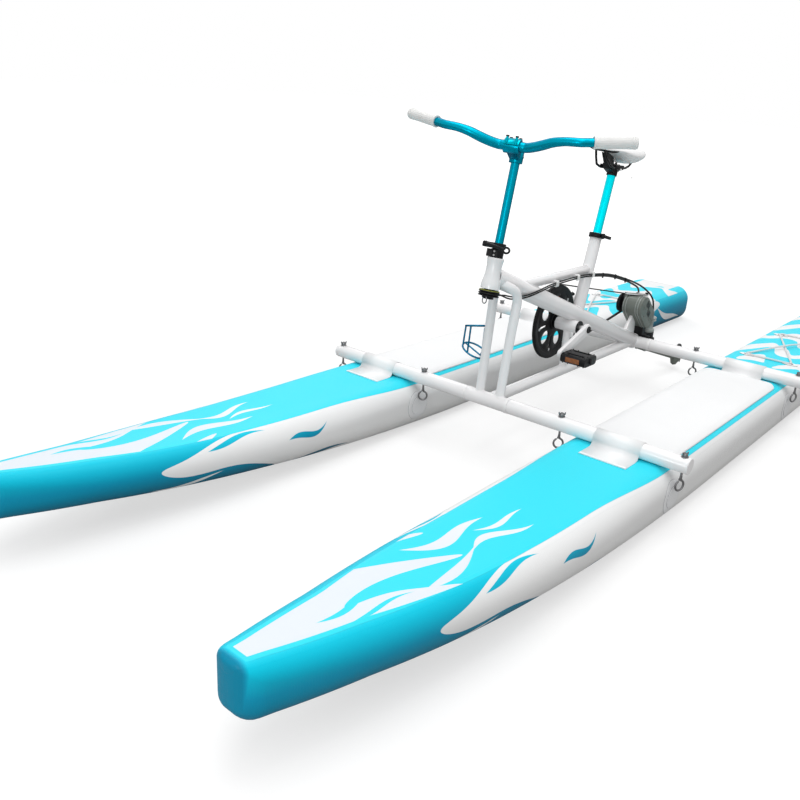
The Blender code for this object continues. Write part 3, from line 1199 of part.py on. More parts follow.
SWIVEL = empty("swivel_axis", (0, SWIVEL_Y, 0), (0, 0, -STEER_RATIO * STEER_REST), BASE)
TILT = empty("tilt_axis", (0, 0, LEG_PIVOT_Z), (LEG_PARKED, 0, 0), SWIVEL)
PROP = empty("propeller_axis", (0, 0, -PROP_LEG_LENGTH), (0, 0, 0), TILT)

make_pontoons()
make_deck_pads()
make_bungees()
make_cross_tubes()
make_tie_downs()
make_welded_frame()
make_steering()
make_seat()
make_crankset()
make_drive()
make_propulsion()
make_cable()
make_bottle_cage()
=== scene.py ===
# %% [markdown]
# # An inflatable water bike, dressed for its photograph
# The CAD model gives every solid its place. This notebook gives each one its real surface: thin welds,
# printed fabric, rubber, anodised and painted metal. Each step says what the piece is and how it is made.

import json
from math import acos, atan, atan2, copysign, cos, hypot, pi, radians, sin, sqrt, tau

import bmesh
import bpy
from mathutils import Matrix, Vector

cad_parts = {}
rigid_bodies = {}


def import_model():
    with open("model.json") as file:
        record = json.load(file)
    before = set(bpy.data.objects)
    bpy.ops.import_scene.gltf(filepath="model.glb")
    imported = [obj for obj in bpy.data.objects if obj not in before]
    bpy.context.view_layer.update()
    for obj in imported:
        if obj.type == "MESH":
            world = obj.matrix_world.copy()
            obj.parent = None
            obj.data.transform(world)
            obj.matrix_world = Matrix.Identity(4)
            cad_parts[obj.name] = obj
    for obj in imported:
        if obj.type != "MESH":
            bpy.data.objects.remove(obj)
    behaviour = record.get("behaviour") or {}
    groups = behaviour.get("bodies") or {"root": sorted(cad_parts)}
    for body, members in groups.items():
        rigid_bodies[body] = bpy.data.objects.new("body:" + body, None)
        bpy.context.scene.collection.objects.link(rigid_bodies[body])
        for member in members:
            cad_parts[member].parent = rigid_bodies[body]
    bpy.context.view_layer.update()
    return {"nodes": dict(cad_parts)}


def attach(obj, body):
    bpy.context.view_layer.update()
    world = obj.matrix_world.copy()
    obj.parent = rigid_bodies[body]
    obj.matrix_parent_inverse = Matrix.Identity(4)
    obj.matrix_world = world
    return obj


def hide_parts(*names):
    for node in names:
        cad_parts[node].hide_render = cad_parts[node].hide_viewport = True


for leftover in list(bpy.data.objects):
    bpy.data.objects.remove(leftover)
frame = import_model()

# %% [markdown]
# ## Places
# A bike is drawn most easily along its own axes. Each matrix below carries a local system, with Z along a
# tube or an axle, to its place in the model, so that a seatpost is simply a tube on Z.

# %% The axes of the bike


def shift(x, y, z):
    return Matrix.Translation((x, y, z))


def turn(degrees, axis):
    return Matrix.Rotation(radians(degrees), 4, axis)


def leaning(y, z):
    """Lays a piece's Z along a direction in the plane of symmetry."""
    return Matrix.Rotation(atan2(-y, z), 4, "X")


ACROSS = turn(90, "Y")
BASE = shift(0, -0.428, 0.1703)
REAR_Y = 0.889
HEAD = BASE @ shift(0, -0.0457, 0.317) @ Matrix.Rotation(-atan(0.19), 4, "X")
HELM = HEAD @ turn(16, "Z")
SEAT = BASE @ shift(0, 0.5036, 0.412) @ Matrix.Rotation(-atan(0.235), 4, "X")
CRANK = BASE @ shift(0, 0.399, 0.143)
DRIVE = BASE @ shift(0, 0.862, 0.132)
PONTOON_X = 0.395
MIRROR = Matrix.Diagonal((-1, 1, 1, 1))
HANDS = (("left", 1), ("right", -1))
ENDS = (("front", 0.0), ("rear", REAR_Y))
print("head axis", [round(v, 3) for v in HEAD.col[2]], "seat axis", [round(v, 3) for v in SEAT.col[2]])

# %% [markdown]
# ## Shapes from bmesh operators
# Most bicycle parts are turned, extruded or bent from tube. A few helpers wrap the operators for these:
# spin for turned parts, extrude for plates and a bevelled curve for bent tubes. Real edges are never sharp,
# so each helper can round its edges, which gives them the bright line that light leaves on an edge.

# %% Shape helpers


def round_edges(bm, width, over=35, segments=2):
    """Bevels the edges whose faces meet at more than an angle."""
    sharp = [e for e in bm.edges if len(e.link_faces) == 2 and e.calc_face_angle(0) > radians(over)]
    bmesh.ops.bevel(
        bm, geom=sharp, offset=width, offset_type="OFFSET", affect="EDGES",
        segments=segments, profile=0.5, material=-1, clamp_overlap=True,
    )
    return bm


def push(bm, made, reach):
    """Moves the vertices that an extrusion made."""
    bmesh.ops.translate(bm, verts=[v for v in made["geom"] if isinstance(v, bmesh.types.BMVert)], vec=reach)
    bmesh.ops.recalc_face_normals(bm, faces=bm.faces)


def rod(radius, low, high, steps=48, rim=0.0):
    bm = bmesh.new()
    bmesh.ops.create_cone(
        bm, cap_ends=True, segments=steps, radius1=radius, radius2=radius,
        depth=high - low, matrix=shift(0, 0, (low + high) / 2),
    )
    return round_edges(bm, rim) if rim else bm


def lathe(points, steps=48, ring=False):
    """Spins (radius, height) points round Z."""
    bm = bmesh.new()
    verts = [bm.verts.new((radius, 0, height)) for radius, height in points]
    pairs = list(zip(verts, verts[1:])) + ([(verts[-1], verts[0])] if ring else [])
    edges = [bm.edges.new(pair) for pair in pairs]
    bmesh.ops.spin(
        bm, geom=verts + edges, axis=(0, 0, 1), cent=(0, 0, 0), angle=tau, steps=steps, use_merge=True
    )
    bmesh.ops.remove_doubles(bm, verts=bm.verts, dist=1e-6)
    bmesh.ops.recalc_face_normals(bm, faces=bm.faces)
    return bm


def pipe(radius, low, high, wall=0.002, steps=48, rim=0.0004):
    """An open tube with a rounded lip at each end."""
    bore = radius - wall
    return lathe([
        (bore, low + rim), (bore + rim, low), (radius - rim, low), (radius, low + rim),
        (radius, high - rim), (radius - rim, high), (bore + rim, high), (bore, high - rim),
    ], steps, ring=True)


def box(low, high, rim=0.0):
    bm = bmesh.new()
    low, high = Vector(low), Vector(high)
    place = Matrix.Translation((low + high) / 2) @ Matrix.Diagonal((*(high - low), 1.0))
    bmesh.ops.create_cube(bm, size=1.0, matrix=place)
    return round_edges(bm, rim) if rim else bm


def plate(outline, low, high, rim=0.0):
    """Extrudes a closed outline of (x, y) points along Z."""
    bm = bmesh.new()
    face = bm.faces.new([bm.verts.new((u, v, low)) for u, v in outline])
    push(bm, bmesh.ops.extrude_face_region(bm, geom=[face]), (0, 0, high - low))
    return round_edges(bm, rim) if rim else bm


def arc(centre, radius, start, end, steps):
    angles = [start + (end - start) * i / steps for i in range(steps + 1)]
    return [(centre[0] + radius * cos(a), centre[1] + radius * sin(a)) for a in angles]


def mm(*points):
    """Points given in millimetres, in metres."""
    return [tuple(value / 1000 for value in point) for point in points]


def circle(radius, count):
    angles = [tau * i / count for i in range(count)]
    return [(radius * cos(a), radius * sin(a)) for a in angles]


def strap(a, radius_a, b, radius_b, steps=16):
    """The outline of a belt pulled round two circles."""
    across, up = b[0] - a[0], b[1] - a[1]
    heading = atan2(up, across)
    lean = acos((radius_a - radius_b) / hypot(across, up))
    far = arc(b, radius_b, heading - lean, heading + lean, steps)
    return far + arc(a, radius_a, heading + lean, heading + tau - lean, steps)


def smooth_route(points, spans=4):
    """A smooth curve through given points."""
    points = [Vector(p) for p in points]
    ends = [2 * points[0] - points[1]] + points + [2 * points[-1] - points[-2]]
    route = []
    for a, b, c, d in zip(ends, ends[1:], ends[2:], ends[3:]):
        for i in range(spans):
            t = i / spans
            bend = (2 * a - 5 * b + 4 * c - d) * t**2 + (3 * b - a - 3 * c + d) * t**3
            route.append(0.5 * (2 * b + (c - a) * t + bend))
    return route + [points[-1]]


def bent(points, radius, sides=12, closed=False, radii=None):
    """A round bar along a route, made by a curve's bevel and kept as a mesh."""
    curve = bpy.data.curves.new("route", "CURVE")
    curve.dimensions = "3D"
    curve.bevel_depth = radius
    curve.bevel_resolution = (sides - 4) // 2
    curve.use_fill_caps = not closed
    spline = curve.splines.new("POLY")
    spline.points.add(len(points) - 1)
    for i, point in enumerate(points):
        spline.points[i].co = (*point, 1.0)
        spline.points[i].radius = radii[i] / radius if radii else 1.0
    spline.use_cyclic_u = closed
    guide = bpy.data.objects.new("route", curve)
    bpy.context.scene.collection.objects.link(guide)
    mesh = bpy.data.meshes.new_from_object(guide.evaluated_get(bpy.context.evaluated_depsgraph_get()))
    bm = bmesh.new()
    bm.from_mesh(mesh)
    bmesh.ops.remove_doubles(bm, verts=bm.verts, dist=1e-6)
    bmesh.ops.recalc_face_normals(bm, faces=bm.faces)
    bpy.data.objects.remove(guide)
    bpy.data.meshes.remove(mesh)
    return bm


print("helpers ready: a 10 mm rod has", len(rod(0.005, 0, 0.01).faces), "faces")

# %% [markdown]
# ## From shape to piece
# A piece is one object with its place baked into its mesh and its object at the origin. A solid whose form
# is already right in the CAD model is copied, merged and given rounded edges instead of being drawn again.

# %% Joining shapes and finishing a piece


def placed(bm, place=None, paint=None):
    """Moves a shape to its place and says which of the piece's finishes it has."""
    if place is not None:
        bm.transform(place)
        if place.determinant() < 0:
            bmesh.ops.reverse_faces(bm, faces=bm.faces)
    if paint is not None:
        for face in bm.faces:
            face.material_index = paint
    return bm


def joined(*shapes):
    """Puts several shapes into one bmesh."""
    whole = bmesh.new()
    for shape in shapes:
        mesh = bpy.data.meshes.new("shape")
        shape.to_mesh(mesh)
        shape.free()
        whole.from_mesh(mesh)
        bpy.data.meshes.remove(mesh)
    return whole


def from_cad(node, rim=0.0006, over=32, paint=None):
    """A merged copy of a CAD node's mesh, with its flat faces whole again and its edges rounded."""
    bm = bmesh.new()
    bm.from_mesh(frame["nodes"][node].data)
    bmesh.ops.remove_doubles(bm, verts=bm.verts, dist=1e-5)
    bmesh.ops.dissolve_limit(bm, angle_limit=radians(0.5), verts=bm.verts, edges=bm.edges)
    if rim:
        round_edges(bm, rim, over)
    return placed(bm, paint=paint)


def piece(name, bm, finishes, node="", body="frame", smooth=38):
    """Makes the object with its finishes, ties it to its body and hides the solid it stands for."""
    finishes = finishes if isinstance(finishes, list) else [finishes]
    mesh = bpy.data.meshes.new(name)
    bm.normal_update()
    bm.to_mesh(mesh)
    bm.free()
    for finish in finishes:
        mesh.materials.append(finish)
    mesh.shade_smooth()
    mesh.set_sharp_from_angle(angle=radians(smooth))
    obj = bpy.data.objects.new(name, mesh)
    bpy.context.scene.collection.objects.link(obj)
    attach(obj, body)
    if node:
        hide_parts(node)
    return obj


def socket_bolt(radius, height):
    """A socket-head bolt standing on the origin."""
    inside = radius * 0.5
    return lathe([
        (0, height * 0.35), (inside, height * 0.35), (inside, height), (radius * 0.85, height),
        (radius, height * 0.82), (radius, 0), (0, 0),
    ], 24)


print("a 5 mm bolt has", len(socket_bolt(0.0025, 0.003).faces), "faces")

# %% [markdown]
# ## Writing materials as sums
# A node material is arithmetic on coordinates. The Wire class wraps one output socket and overloads
# Python's operators, so that a line like `1 - mask` adds the Math node by itself. Paint holds one material
# and adds every other node through a single method.

# %% Wires and paints


class Wire:
    """A value that flows between nodes; sums on it add Math nodes."""

    def __init__(self, paint, socket):
        self.paint, self.socket = paint, socket

    def maths(self, operation, *values, clamp=False):
        return self.paint.node(
            "Math", {"operation": operation, "use_clamp": clamp}, {i: v for i, v in enumerate(values)}
        )

    def __abs__(self):
        return self.maths("ABSOLUTE", self)

    def sin(self):
        return self.maths("SINE", self)

    def least(self, other):
        return self.maths("MINIMUM", self, other)

    def most(self, other):
        return self.maths("MAXIMUM", self, other)

    def above(self, edge, soft=0.0006):
        """1 where the value is over the edge, with a soft step of this width."""
        return self.maths("MULTIPLY_ADD", self, 1 / soft, 0.5 - edge / soft, clamp=True)

    def below(self, edge, soft=0.0006):
        return self.maths("MULTIPLY_ADD", self, -1 / soft, 0.5 + edge / soft, clamp=True)


def summed(operation, turned=False):
    """The method that lets a Python operator add a Math node, also with the wire on its right."""
    return lambda self, other: self.maths(operation, *((other, self) if turned else (self, other)))


for sign, operation in (("add", "ADD"), ("sub", "SUBTRACT"), ("mul", "MULTIPLY")):
    setattr(Wire, f"__{sign}__", summed(operation))
    setattr(Wire, f"__r{sign}__", summed(operation, turned=True))


class Graph:
    """A node tree: node() adds any node, and link() connects a wire to a socket."""

    def __init__(self, owner):
        owner.use_nodes = True
        self.tree = owner.node_tree

    def link(self, wire, socket):
        self.tree.links.new(wire.socket, socket)

    def node(self, kind, settings=None, inputs=None, out=0):
        """Adds a node with its settings and its sockets' values or links, and gives one output."""
        made = self.tree.nodes.new("ShaderNode" + kind)
        for name, value in (settings or {}).items():
            if name == "stops":
                ramp = made.color_ramp
                while len(ramp.elements) < len(value):
                    ramp.elements.new(0.5)
                for stop, (position, colour) in zip(ramp.elements, value):
                    stop.position, stop.color = position, (*colour, 1.0)
            else:
                setattr(made, name, value)
        for name, value in (inputs or {}).items():
            socket = made.inputs[name]
            if isinstance(value, Wire):
                self.link(value, socket)
            elif isinstance(value, tuple) and socket.type == "RGBA":
                socket.default_value = (*value, 1.0)
            else:
                socket.default_value = value
        return Wire(self, made.outputs[out])


class Paint(Graph):
    def __init__(self, name, colour, roughness, metallic=0.0, **constants):
        self.material = bpy.data.materials.new(name)
        super().__init__(self.material)
        self.shader, self.colour = self.tree.nodes["Principled BSDF"], colour
        constants |= {"Base_Color": (*colour, 1.0), "Roughness": roughness, "Metallic": metallic}
        for socket, value in constants.items():
            self.shader.inputs[socket.replace("_", " ")].default_value = value
        self.place = self.node("TexCoord", out="Object")
        self.material.diffuse_color = (*colour, 1.0)

    def axes(self):
        """The object's own X, Y and Z."""
        first = self.node("SeparateXYZ", None, {0: self.place})
        outputs = first.socket.node.outputs
        return [Wire(self, outputs[i]) for i in range(3)]

    def noise(self, scale, detail=3.0, stretch=None):
        place = self.place
        if stretch:
            place = self.node("Mapping", None, {"Vector": place, "Scale": stretch})
        return self.node("TexNoise", None, {"Vector": place, "Scale": scale, "Detail": detail}, out=0)

    def attribute(self, name):
        return self.node("Attribute", {"attribute_name": name}, out="Fac")

    def mix(self, mask, a, b):
        """Colour a where the mask is 0, b where it is 1."""
        return self.node("Mix", {"data_type": "RGBA"}, {0: mask, 6: a, 7: b}, out=2)

    def shaded(self, amount=0.04, scale=9.0):
        """The base colour, a little lighter and darker over the piece."""
        dark = tuple(c * (1 - amount) for c in self.colour)
        light = tuple(min(1.0, c * (1 + amount)) for c in self.colour)
        return self.mix(self.noise(scale), dark, light)

    def finish(self, colour, roughness=None, height=None, depth=0.0002, strength=1.0):
        normal = height and self.node(
            "Bump", None, {"Height": height, "Distance": depth, "Strength": strength},
        )
        for socket, wire in (("Base Color", colour), ("Roughness", roughness), ("Normal", normal)):
            if wire:
                self.link(wire, self.shader.inputs[socket])
        return self.material


# %% [markdown]
# ## Painted and plated metal
# Powder coat has a faint orange-peel ripple, anodising is smooth with a tinted shine, and castings are
# slightly grainy. Each finish varies its roughness a little, because a perfectly even gloss is what gives a
# computer picture away. They all come from one function with three noises.

# %% Metal finishes


def surface(name, colour, roughness, mottle, cloud, grain=(), metallic=0.0, **constants):
    """A finish by three noises: mottle (amount, scale), cloud (scale, detail, low, swing) and
    grain (scale, detail, depth) vary its colour, its roughness and its height."""
    paint = Paint(name, colour, roughness, metallic, **constants)
    scale, detail, low, swing = cloud
    height = paint.noise(*grain[:2]) if grain else None
    rough = roughness + low + swing * paint.noise(scale, detail)
    return paint.finish(paint.shaded(*mottle), rough, height, *grain[2:])


def powder_coat(name, colour, roughness=0.24):
    return surface(
        name, colour, roughness, (0.018, 9.0), (14.0, 2.0, -0.04, 0.1), (700.0, 1.0, 0.00003),
        Coat_Weight=0.15, Coat_Roughness=0.12,
    )


def anodised(name, colour, roughness, metallic):
    tint = (0.0, 0.06, 0.12, 1.0)
    return surface(
        name, colour, roughness, (0.03, 10.0), (22.0, 1.0, -0.02, 0.04), (), metallic, Specular_Tint=tint,
    )


def plated(name, colour, roughness):
    return surface(name, colour, roughness, (0.12, 90.0), (60.0, 3.0, -0.1, 0.3), (420.0, 4.0, 0.00002), 1.0)


def cast_paint(name, colour, roughness=0.42, metallic=0.25, shine=0.5):
    cloud, grain = (45.0, 4.0, -0.08, 0.2), (900.0, 3.0, 0.00005)
    return surface(name, colour, roughness, (0.1, 40.0), cloud, grain, metallic, Specular_IOR_Level=shine)


WHITE = powder_coat("white powder coat", (0.87, 0.86, 0.865))
CRANK_WHITE = powder_coat("white crank paint", (0.84, 0.83, 0.835), 0.3)
TURQUOISE = anodised("turquoise anodising", (0.0, 0.3, 0.42), 0.34, 0.8)
# The seatpost's turquoise is the bar's anodising made much brighter: a painted highlight
LIT_POST_TURQUOISE = anodised("turquoise anodising with painted highlight", (0.0, 0.86, 0.98), 0.3, 0.6)
BRIGHT_TURQUOISE = anodised("bright turquoise anodising", (0.0, 0.4, 0.5), 0.25, 0.7)
DEEP_TURQUOISE = anodised("deep turquoise anodising", (0.01, 0.17, 0.3), 0.28, 0.85)
ZINC = plated("dull zinc", (0.2, 0.2, 0.205), 0.36)
STEEL = plated("bright steel", (0.72, 0.72, 0.72), 0.26)
BLACK = cast_paint("black anodised alloy", (0.005, 0.005, 0.006), 0.4, 0.0, 0.18)
CAST_GREY = cast_paint("grey cast case", (0.15, 0.168, 0.15))
CAST_LIGHT = cast_paint("light grey cast rim", (0.3, 0.325, 0.31), 0.38)
print("metal finishes:", len(bpy.data.materials))

# %% [markdown]
# ## Rubber, plastic and vinyl
# Moulded plastic has a fine spark-eroded grain, rubber is duller and softer, and saddle vinyl carries the
# small pebbles of its embossing.

# %% Soft and moulded finishes


def moulded(name, colour, roughness=0.5, grain=650.0, depth=0.00008):
    cloud = (30.0, 2.0, -0.07, 0.15)
    return surface(name, colour, roughness, (0.07, 30.0), cloud, (grain, 3.0, depth), Specular_IOR_Level=0.2)


def vinyl(name, colour, roughness=0.38):
    paint = Paint(name, colour, roughness, Coat_Weight=0.1)
    cells = paint.node("TexVoronoi", {"feature": "F1"}, {"Vector": paint.place, "Scale": 420.0})
    cloud = paint.noise(18.0, 2.0)
    return paint.finish(paint.shaded(0.02, 12.0), roughness - 0.05 + 0.1 * cloud, cells, 0.00012, 0.5)


def foam(name, colour):
    """Closed-cell foam, with brushed pores and a fine square emboss."""
    paint = Paint(name, colour, 0.72)
    x, y, z = paint.axes()
    squares = (x * 900.0).sin().least((y * 900.0).sin())
    pores = paint.noise(1500.0, 2.0)
    return paint.finish(
        paint.shaded(0.025, 7.0), 0.66 + 0.12 * paint.noise(25.0), 0.6 * squares + pores, 0.00012, 0.7,
    )


def braid(name, colour, pitch=1100.0):
    """A woven cord cover: two sets of fine diagonal strands, with painted shade in the gaps between them."""
    paint = Paint(name, colour, 0.62, Sheen_Weight=0.2)
    x, y, z = paint.axes()
    weave = ((x + y + z) * pitch).sin().most(((x - y - z) * pitch).sin())
    # The colour is darker where the weave is low: painted shade between the strands
    return paint.finish(
        paint.mix(weave * 0.5 + 0.5, tuple(c * 0.78 for c in colour), colour), None, weave, 0.0003,
    )


WHITE_RUBBER = moulded("white grip rubber", (0.8, 0.8, 0.79), 0.55, 650.0, 0.00003)
BLACK_PLASTIC = moulded("black pedal plastic", (0.005, 0.005, 0.006), 0.45)
BLACK_RUBBER = moulded("black rubber", (0.005, 0.005, 0.005), 0.62)
JACKET = moulded("black cable jacket", (0.006, 0.006, 0.006), 0.42, 900.0, 0.00003)
PROP_BLACK = moulded("propeller plastic", (0.03, 0.03, 0.03), 0.42)
SADDLE_VINYL = vinyl("white saddle vinyl", (0.84, 0.84, 0.84))
PAD_FOAM = foam("white deck foam", (0.85, 0.855, 0.86))
CORD = braid("white braided cord", (0.82, 0.82, 0.82))
SEAL_YELLOW = moulded("yellow-green seal", (0.3, 0.31, 0.06), 0.5)


def ribbed_amber():
    """A reflector: fine prisms, with painted shade between their ridges and painted light on them."""
    paint = Paint("amber reflector", (0.3, 0.08, 0.01), 0.25, Coat_Weight=0.2)
    x, y, z = paint.axes()
    ridge = (x * 1600.0).sin()
    # The colour follows the ridges: painted shade in the grooves, painted light on the crests
    colour = paint.mix(ridge * 0.5 + 0.5, (0.14, 0.035, 0.004), (0.36, 0.11, 0.012))
    return paint.finish(colour, None, ridge + (z * 1600.0).sin(), 0.0003)


AMBER = ribbed_amber()
SLOTS = {
    PAD_FOAM: "eva_foam", CORD: "bungee_cord", WHITE: "white_powder_coat", CRANK_WHITE: "white_crank_paint",
    ZINC: "zinc_steel", STEEL: "bright_steel", BLACK: "black_alloy", TURQUOISE: "turquoise_anodised",
    LIT_POST_TURQUOISE: "turquoise_anodised", BRIGHT_TURQUOISE: "light_turquoise_anodised",
    DEEP_TURQUOISE: "dark_turquoise_anodised", WHITE_RUBBER: "white_rubber", SADDLE_VINYL: "white_vinyl",
    BLACK_RUBBER: "belt_rubber", BLACK_PLASTIC: "black_pedal_plastic", CAST_GREY: "grey_cast_paint",
    CAST_LIGHT: "light_grey_paint", PROP_BLACK: "propeller_plastic", JACKET: "cable_jacket",
}
print("finishes in all:", len(bpy.data.materials))

# %% [markdown]
# ## Stage, light and camera
# The photograph stands on plain white, seen from above the near bow. Its camera was found by fitting the
# bike's straight tubes. The world looks white to the camera and in glossy or clear surfaces, and is dimmer as
# a light. The floor glows for the camera alone, so it adds no light to the object. Large soft lamps from
# above leave the gentle shading under each tube.

# %% Stage and camera
SHOOT = bpy.context.scene
SHOOT.view_settings.view_transform = "Standard"
heading, tilt, roll = radians(39.593), radians(20.92), radians(3.495)
right = Vector((cos(heading), sin(heading), 0))
up = Vector((-sin(heading) * sin(tilt), cos(heading) * sin(tilt), cos(tilt)))
back = right.cross(up)
rolled_right = cos(roll) * right + sin(roll) * up
rolled_up = cos(roll) * up - sin(roll) * right
camera = bpy.data.objects.new("camera", bpy.data.cameras.new("camera"))
camera.data.sensor_width = 36.0
camera.data.lens = 36.45
camera.matrix_world = Matrix.Translation((1.145, -2.1925, 0.9516)) @ Matrix(
    (rolled_right, rolled_up, back)
).transposed().to_4x4()
SHOOT.collection.objects.link(camera)
SHOOT.camera = camera


def lamp(name, place, target, size, power):
    light = bpy.data.lights.new(name, "AREA")
    light.shape, light.size, light.energy = "DISK", size, power
    obj = bpy.data.objects.new(name, light)
    SHOOT.collection.objects.link(obj)
    obj.location = place
    obj.rotation_euler = (Vector(target) - Vector(place)).to_track_quat("-Z", "Y").to_euler()
    obj.visible_camera = False


lamp("key", (2.2, -3.0, 5.8), (0, -0.3, 0.2), 3.6, 81)
lamp("rim", (-4.0, 2.6, 4.2), (0, 0, 0.2), 3.0, 58)
lamp("top", (0.0, 0.0, 6.2), (0, 0, 0), 4.5, 163)
lamp("strip", (0.95, -3.6, 0.85), (0, -0.4, 0.75), 0.9, 18)

world = bpy.data.worlds.new("white room")
SHOOT.world = world
sky = Graph(world)
camera_ray, glossy_ray, clear_ray = [
    sky.node("LightPath", out=f"Is {kind} Ray") for kind in ("Camera", "Glossy", "Transmission")
]
shown = sky.node(
    "Math", {"operation": "ADD", "use_clamp": True}, {0: camera_ray, 1: clear_ray.most(glossy_ray)},
)
strength = sky.node("MapRange", None, {"Value": shown, "To Min": 0.52, "To Max": 1.0})
backdrop = sky.tree.nodes["Background"]
sky.link(strength, backdrop.inputs["Strength"])
backdrop.inputs["Color"].default_value = (1, 1, 1, 1)

ground = Paint("white floor", (0.42, 0.42, 0.42), 0.9, Specular_IOR_Level=0.0, Emission_Strength=1.0)
seen_ray = ground.node("LightPath", out="Is Camera Ray")
away = ground.node("VectorMath", {"operation": "LENGTH"}, {0: ground.place}, out="Value").above(3.0, 3.0)
glow = ground.mix(seen_ray, (0.0, 0.0, 0.0), ground.mix(away, (0.58, 0.58, 0.58), (1.0, 1.0, 1.0)))
ground.link(glow, ground.shader.inputs["Emission Color"])
floor_shape = bmesh.new()
bmesh.ops.create_grid(floor_shape, x_segments=2, y_segments=2, size=60.0)
floor_mesh = bpy.data.meshes.new("floor")
floor_shape.to_mesh(floor_mesh)
floor_shape.free()
floor_mesh.materials.append(ground.material)
floor = bpy.data.objects.new("floor", floor_mesh)
SHOOT.collection.objects.link(floor)
print("camera at", [round(v, 3) for v in camera.location], "lens", camera.data.lens)

# %% [markdown]
# ## The pontoon's form
# Each float is two sheets of drop-stitch fabric tied together by thousands of threads, with a curved side
# band welded round them. So its section is a flat-topped oval, the same along the middle, narrowing and
# rising to the bow. One grid is rolled round that section, which keeps even faces and lets every point
# remember how far it lies from the middle of the deck. The print follows that number.

# %% The section at any place along the float
LENGTH, BOW = 3.26, 1.202
BOW_ROUND, STERN_ROUND = 0.035, 0.055
STERN = LENGTH - BOW


def end_round(distance, radius):
    inside = max(0.0, radius - distance)
    return radius - sqrt(radius**2 - inside**2)


def hull_at(y):
    """Half width, deck height, keel height and edge radius."""
    ahead = -y
    half = 0.04 + 0.11 * (1 - max(0.0, ahead / BOW) ** 3.14)
    top = 0.0632 * max(0.0, ahead - 0.247) ** 2.29 - 0.0203
    keel = 0.0571 * max(0.0, ahead + 0.219) ** 1.684 - 0.1703
    bow, stern = BOW + y, STERN - y
    half -= end_round(bow, BOW_ROUND) + end_round(stern, STERN_ROUND)
    top -= end_round(bow, 0.012) + end_round(stern, 0.03)
    keel += end_round(bow, 0.025) + end_round(stern, 0.03)
    squarer = 1 - 0.4 * min(1.0, max(0.0, (ahead - 0.98) / 0.22))
    return half, top, keel, squarer * min(0.056, 0.96 * half, 0.48 * (top - keel))


def hull_point(y, reach, lift=0.0):
    """The point at an arc distance from the deck's middle line, outboard positive, lifted off the skin."""
    half, top, keel, radius = hull_at(y)
    flat, side = half - radius, top - keel - 2 * radius
    corner = radius * pi / 2
    a, sign = abs(reach), copysign(1.0, reach)
    if a <= flat:
        x, z, nx, nz = a, top, 0.0, 1.0
    elif a <= flat + corner:
        t = (a - flat) / radius
        nx, nz = sin(t), cos(t)
        x, z = flat + radius * nx, top - radius + radius * nz
    elif a <= flat + corner + side:
        x, z, nx, nz = half, top - radius - (a - flat - corner), 1.0, 0.0
    elif a <= flat + 2 * corner + side:
        t = (a - flat - corner - side) / radius
        nx, nz = cos(t), -sin(t)
        x, z = flat + radius * nx, keel + radius + radius * nz
    else:
        x, z, nx, nz = max(0.0, 2 * (flat + corner) + side - a), keel, 0.0, -1.0
    return Vector((sign * (x + nx * lift), y, z + nz * lift))


def seam_reach(y):
    """Where the deck sheet meets the side band, as an arc distance."""
    half, top, keel, radius = hull_at(y)
    share = min(1.0, max(0.0, (y + 0.35) / 0.35))
    return half - radius + radius * (0.27 + 0.38 * share * share * (3 - 2 * share))


def around(y):
    """Arc distances round half the section: dense at the corners, where the light turns."""
    half, top, keel, radius = hull_at(y)
    flat, side, corner = half - radius, top - keel - 2 * radius, radius * pi / 2
    stops = [flat * i / 6 for i in range(6)] + [flat + corner * i / 10 for i in range(10)]
    stops += [flat + corner + side * i / 3 for i in range(3)]
    low = flat + corner + side
    stops += [low + corner * i / 8 for i in range(8)]
    return stops + [low + corner + flat * i / 4 for i in range(5)]


print(
    "section at the sleeve", [round(v, 4) for v in hull_at(0.0)], "at the bow",
    [round(v, 4) for v in hull_at(-1.1)],
)

# %% [markdown]
# ## The printed skin
# The print is our own: tapered waves of turquoise and white that run off the nose and the stern. Each wave
# is a centre line with a width that swells and dies, so it is a few sums on the distance along the float and
# the distance round it. The welded seam, the weave of the base cloth and faint scuffs are bumps on top.

# %% The print


def wave_leaf(along, across, start, end, low, high, bow, fat, hook=0.0):
    """1 inside one tapered wave from (start, low) to (end, high)."""
    t = along.maths("MULTIPLY_ADD", along, 1 / (end - start), -start / (end - start), clamp=True)
    swell = (t * pi).sin()
    centre = low + (high - low) * t + bow * swell + hook * (t * tau).sin()
    width = fat * swell * (1.15 - 0.6 * t) - 0.0004
    return (width - abs(across - centre)).above(0.0, 0.0008)


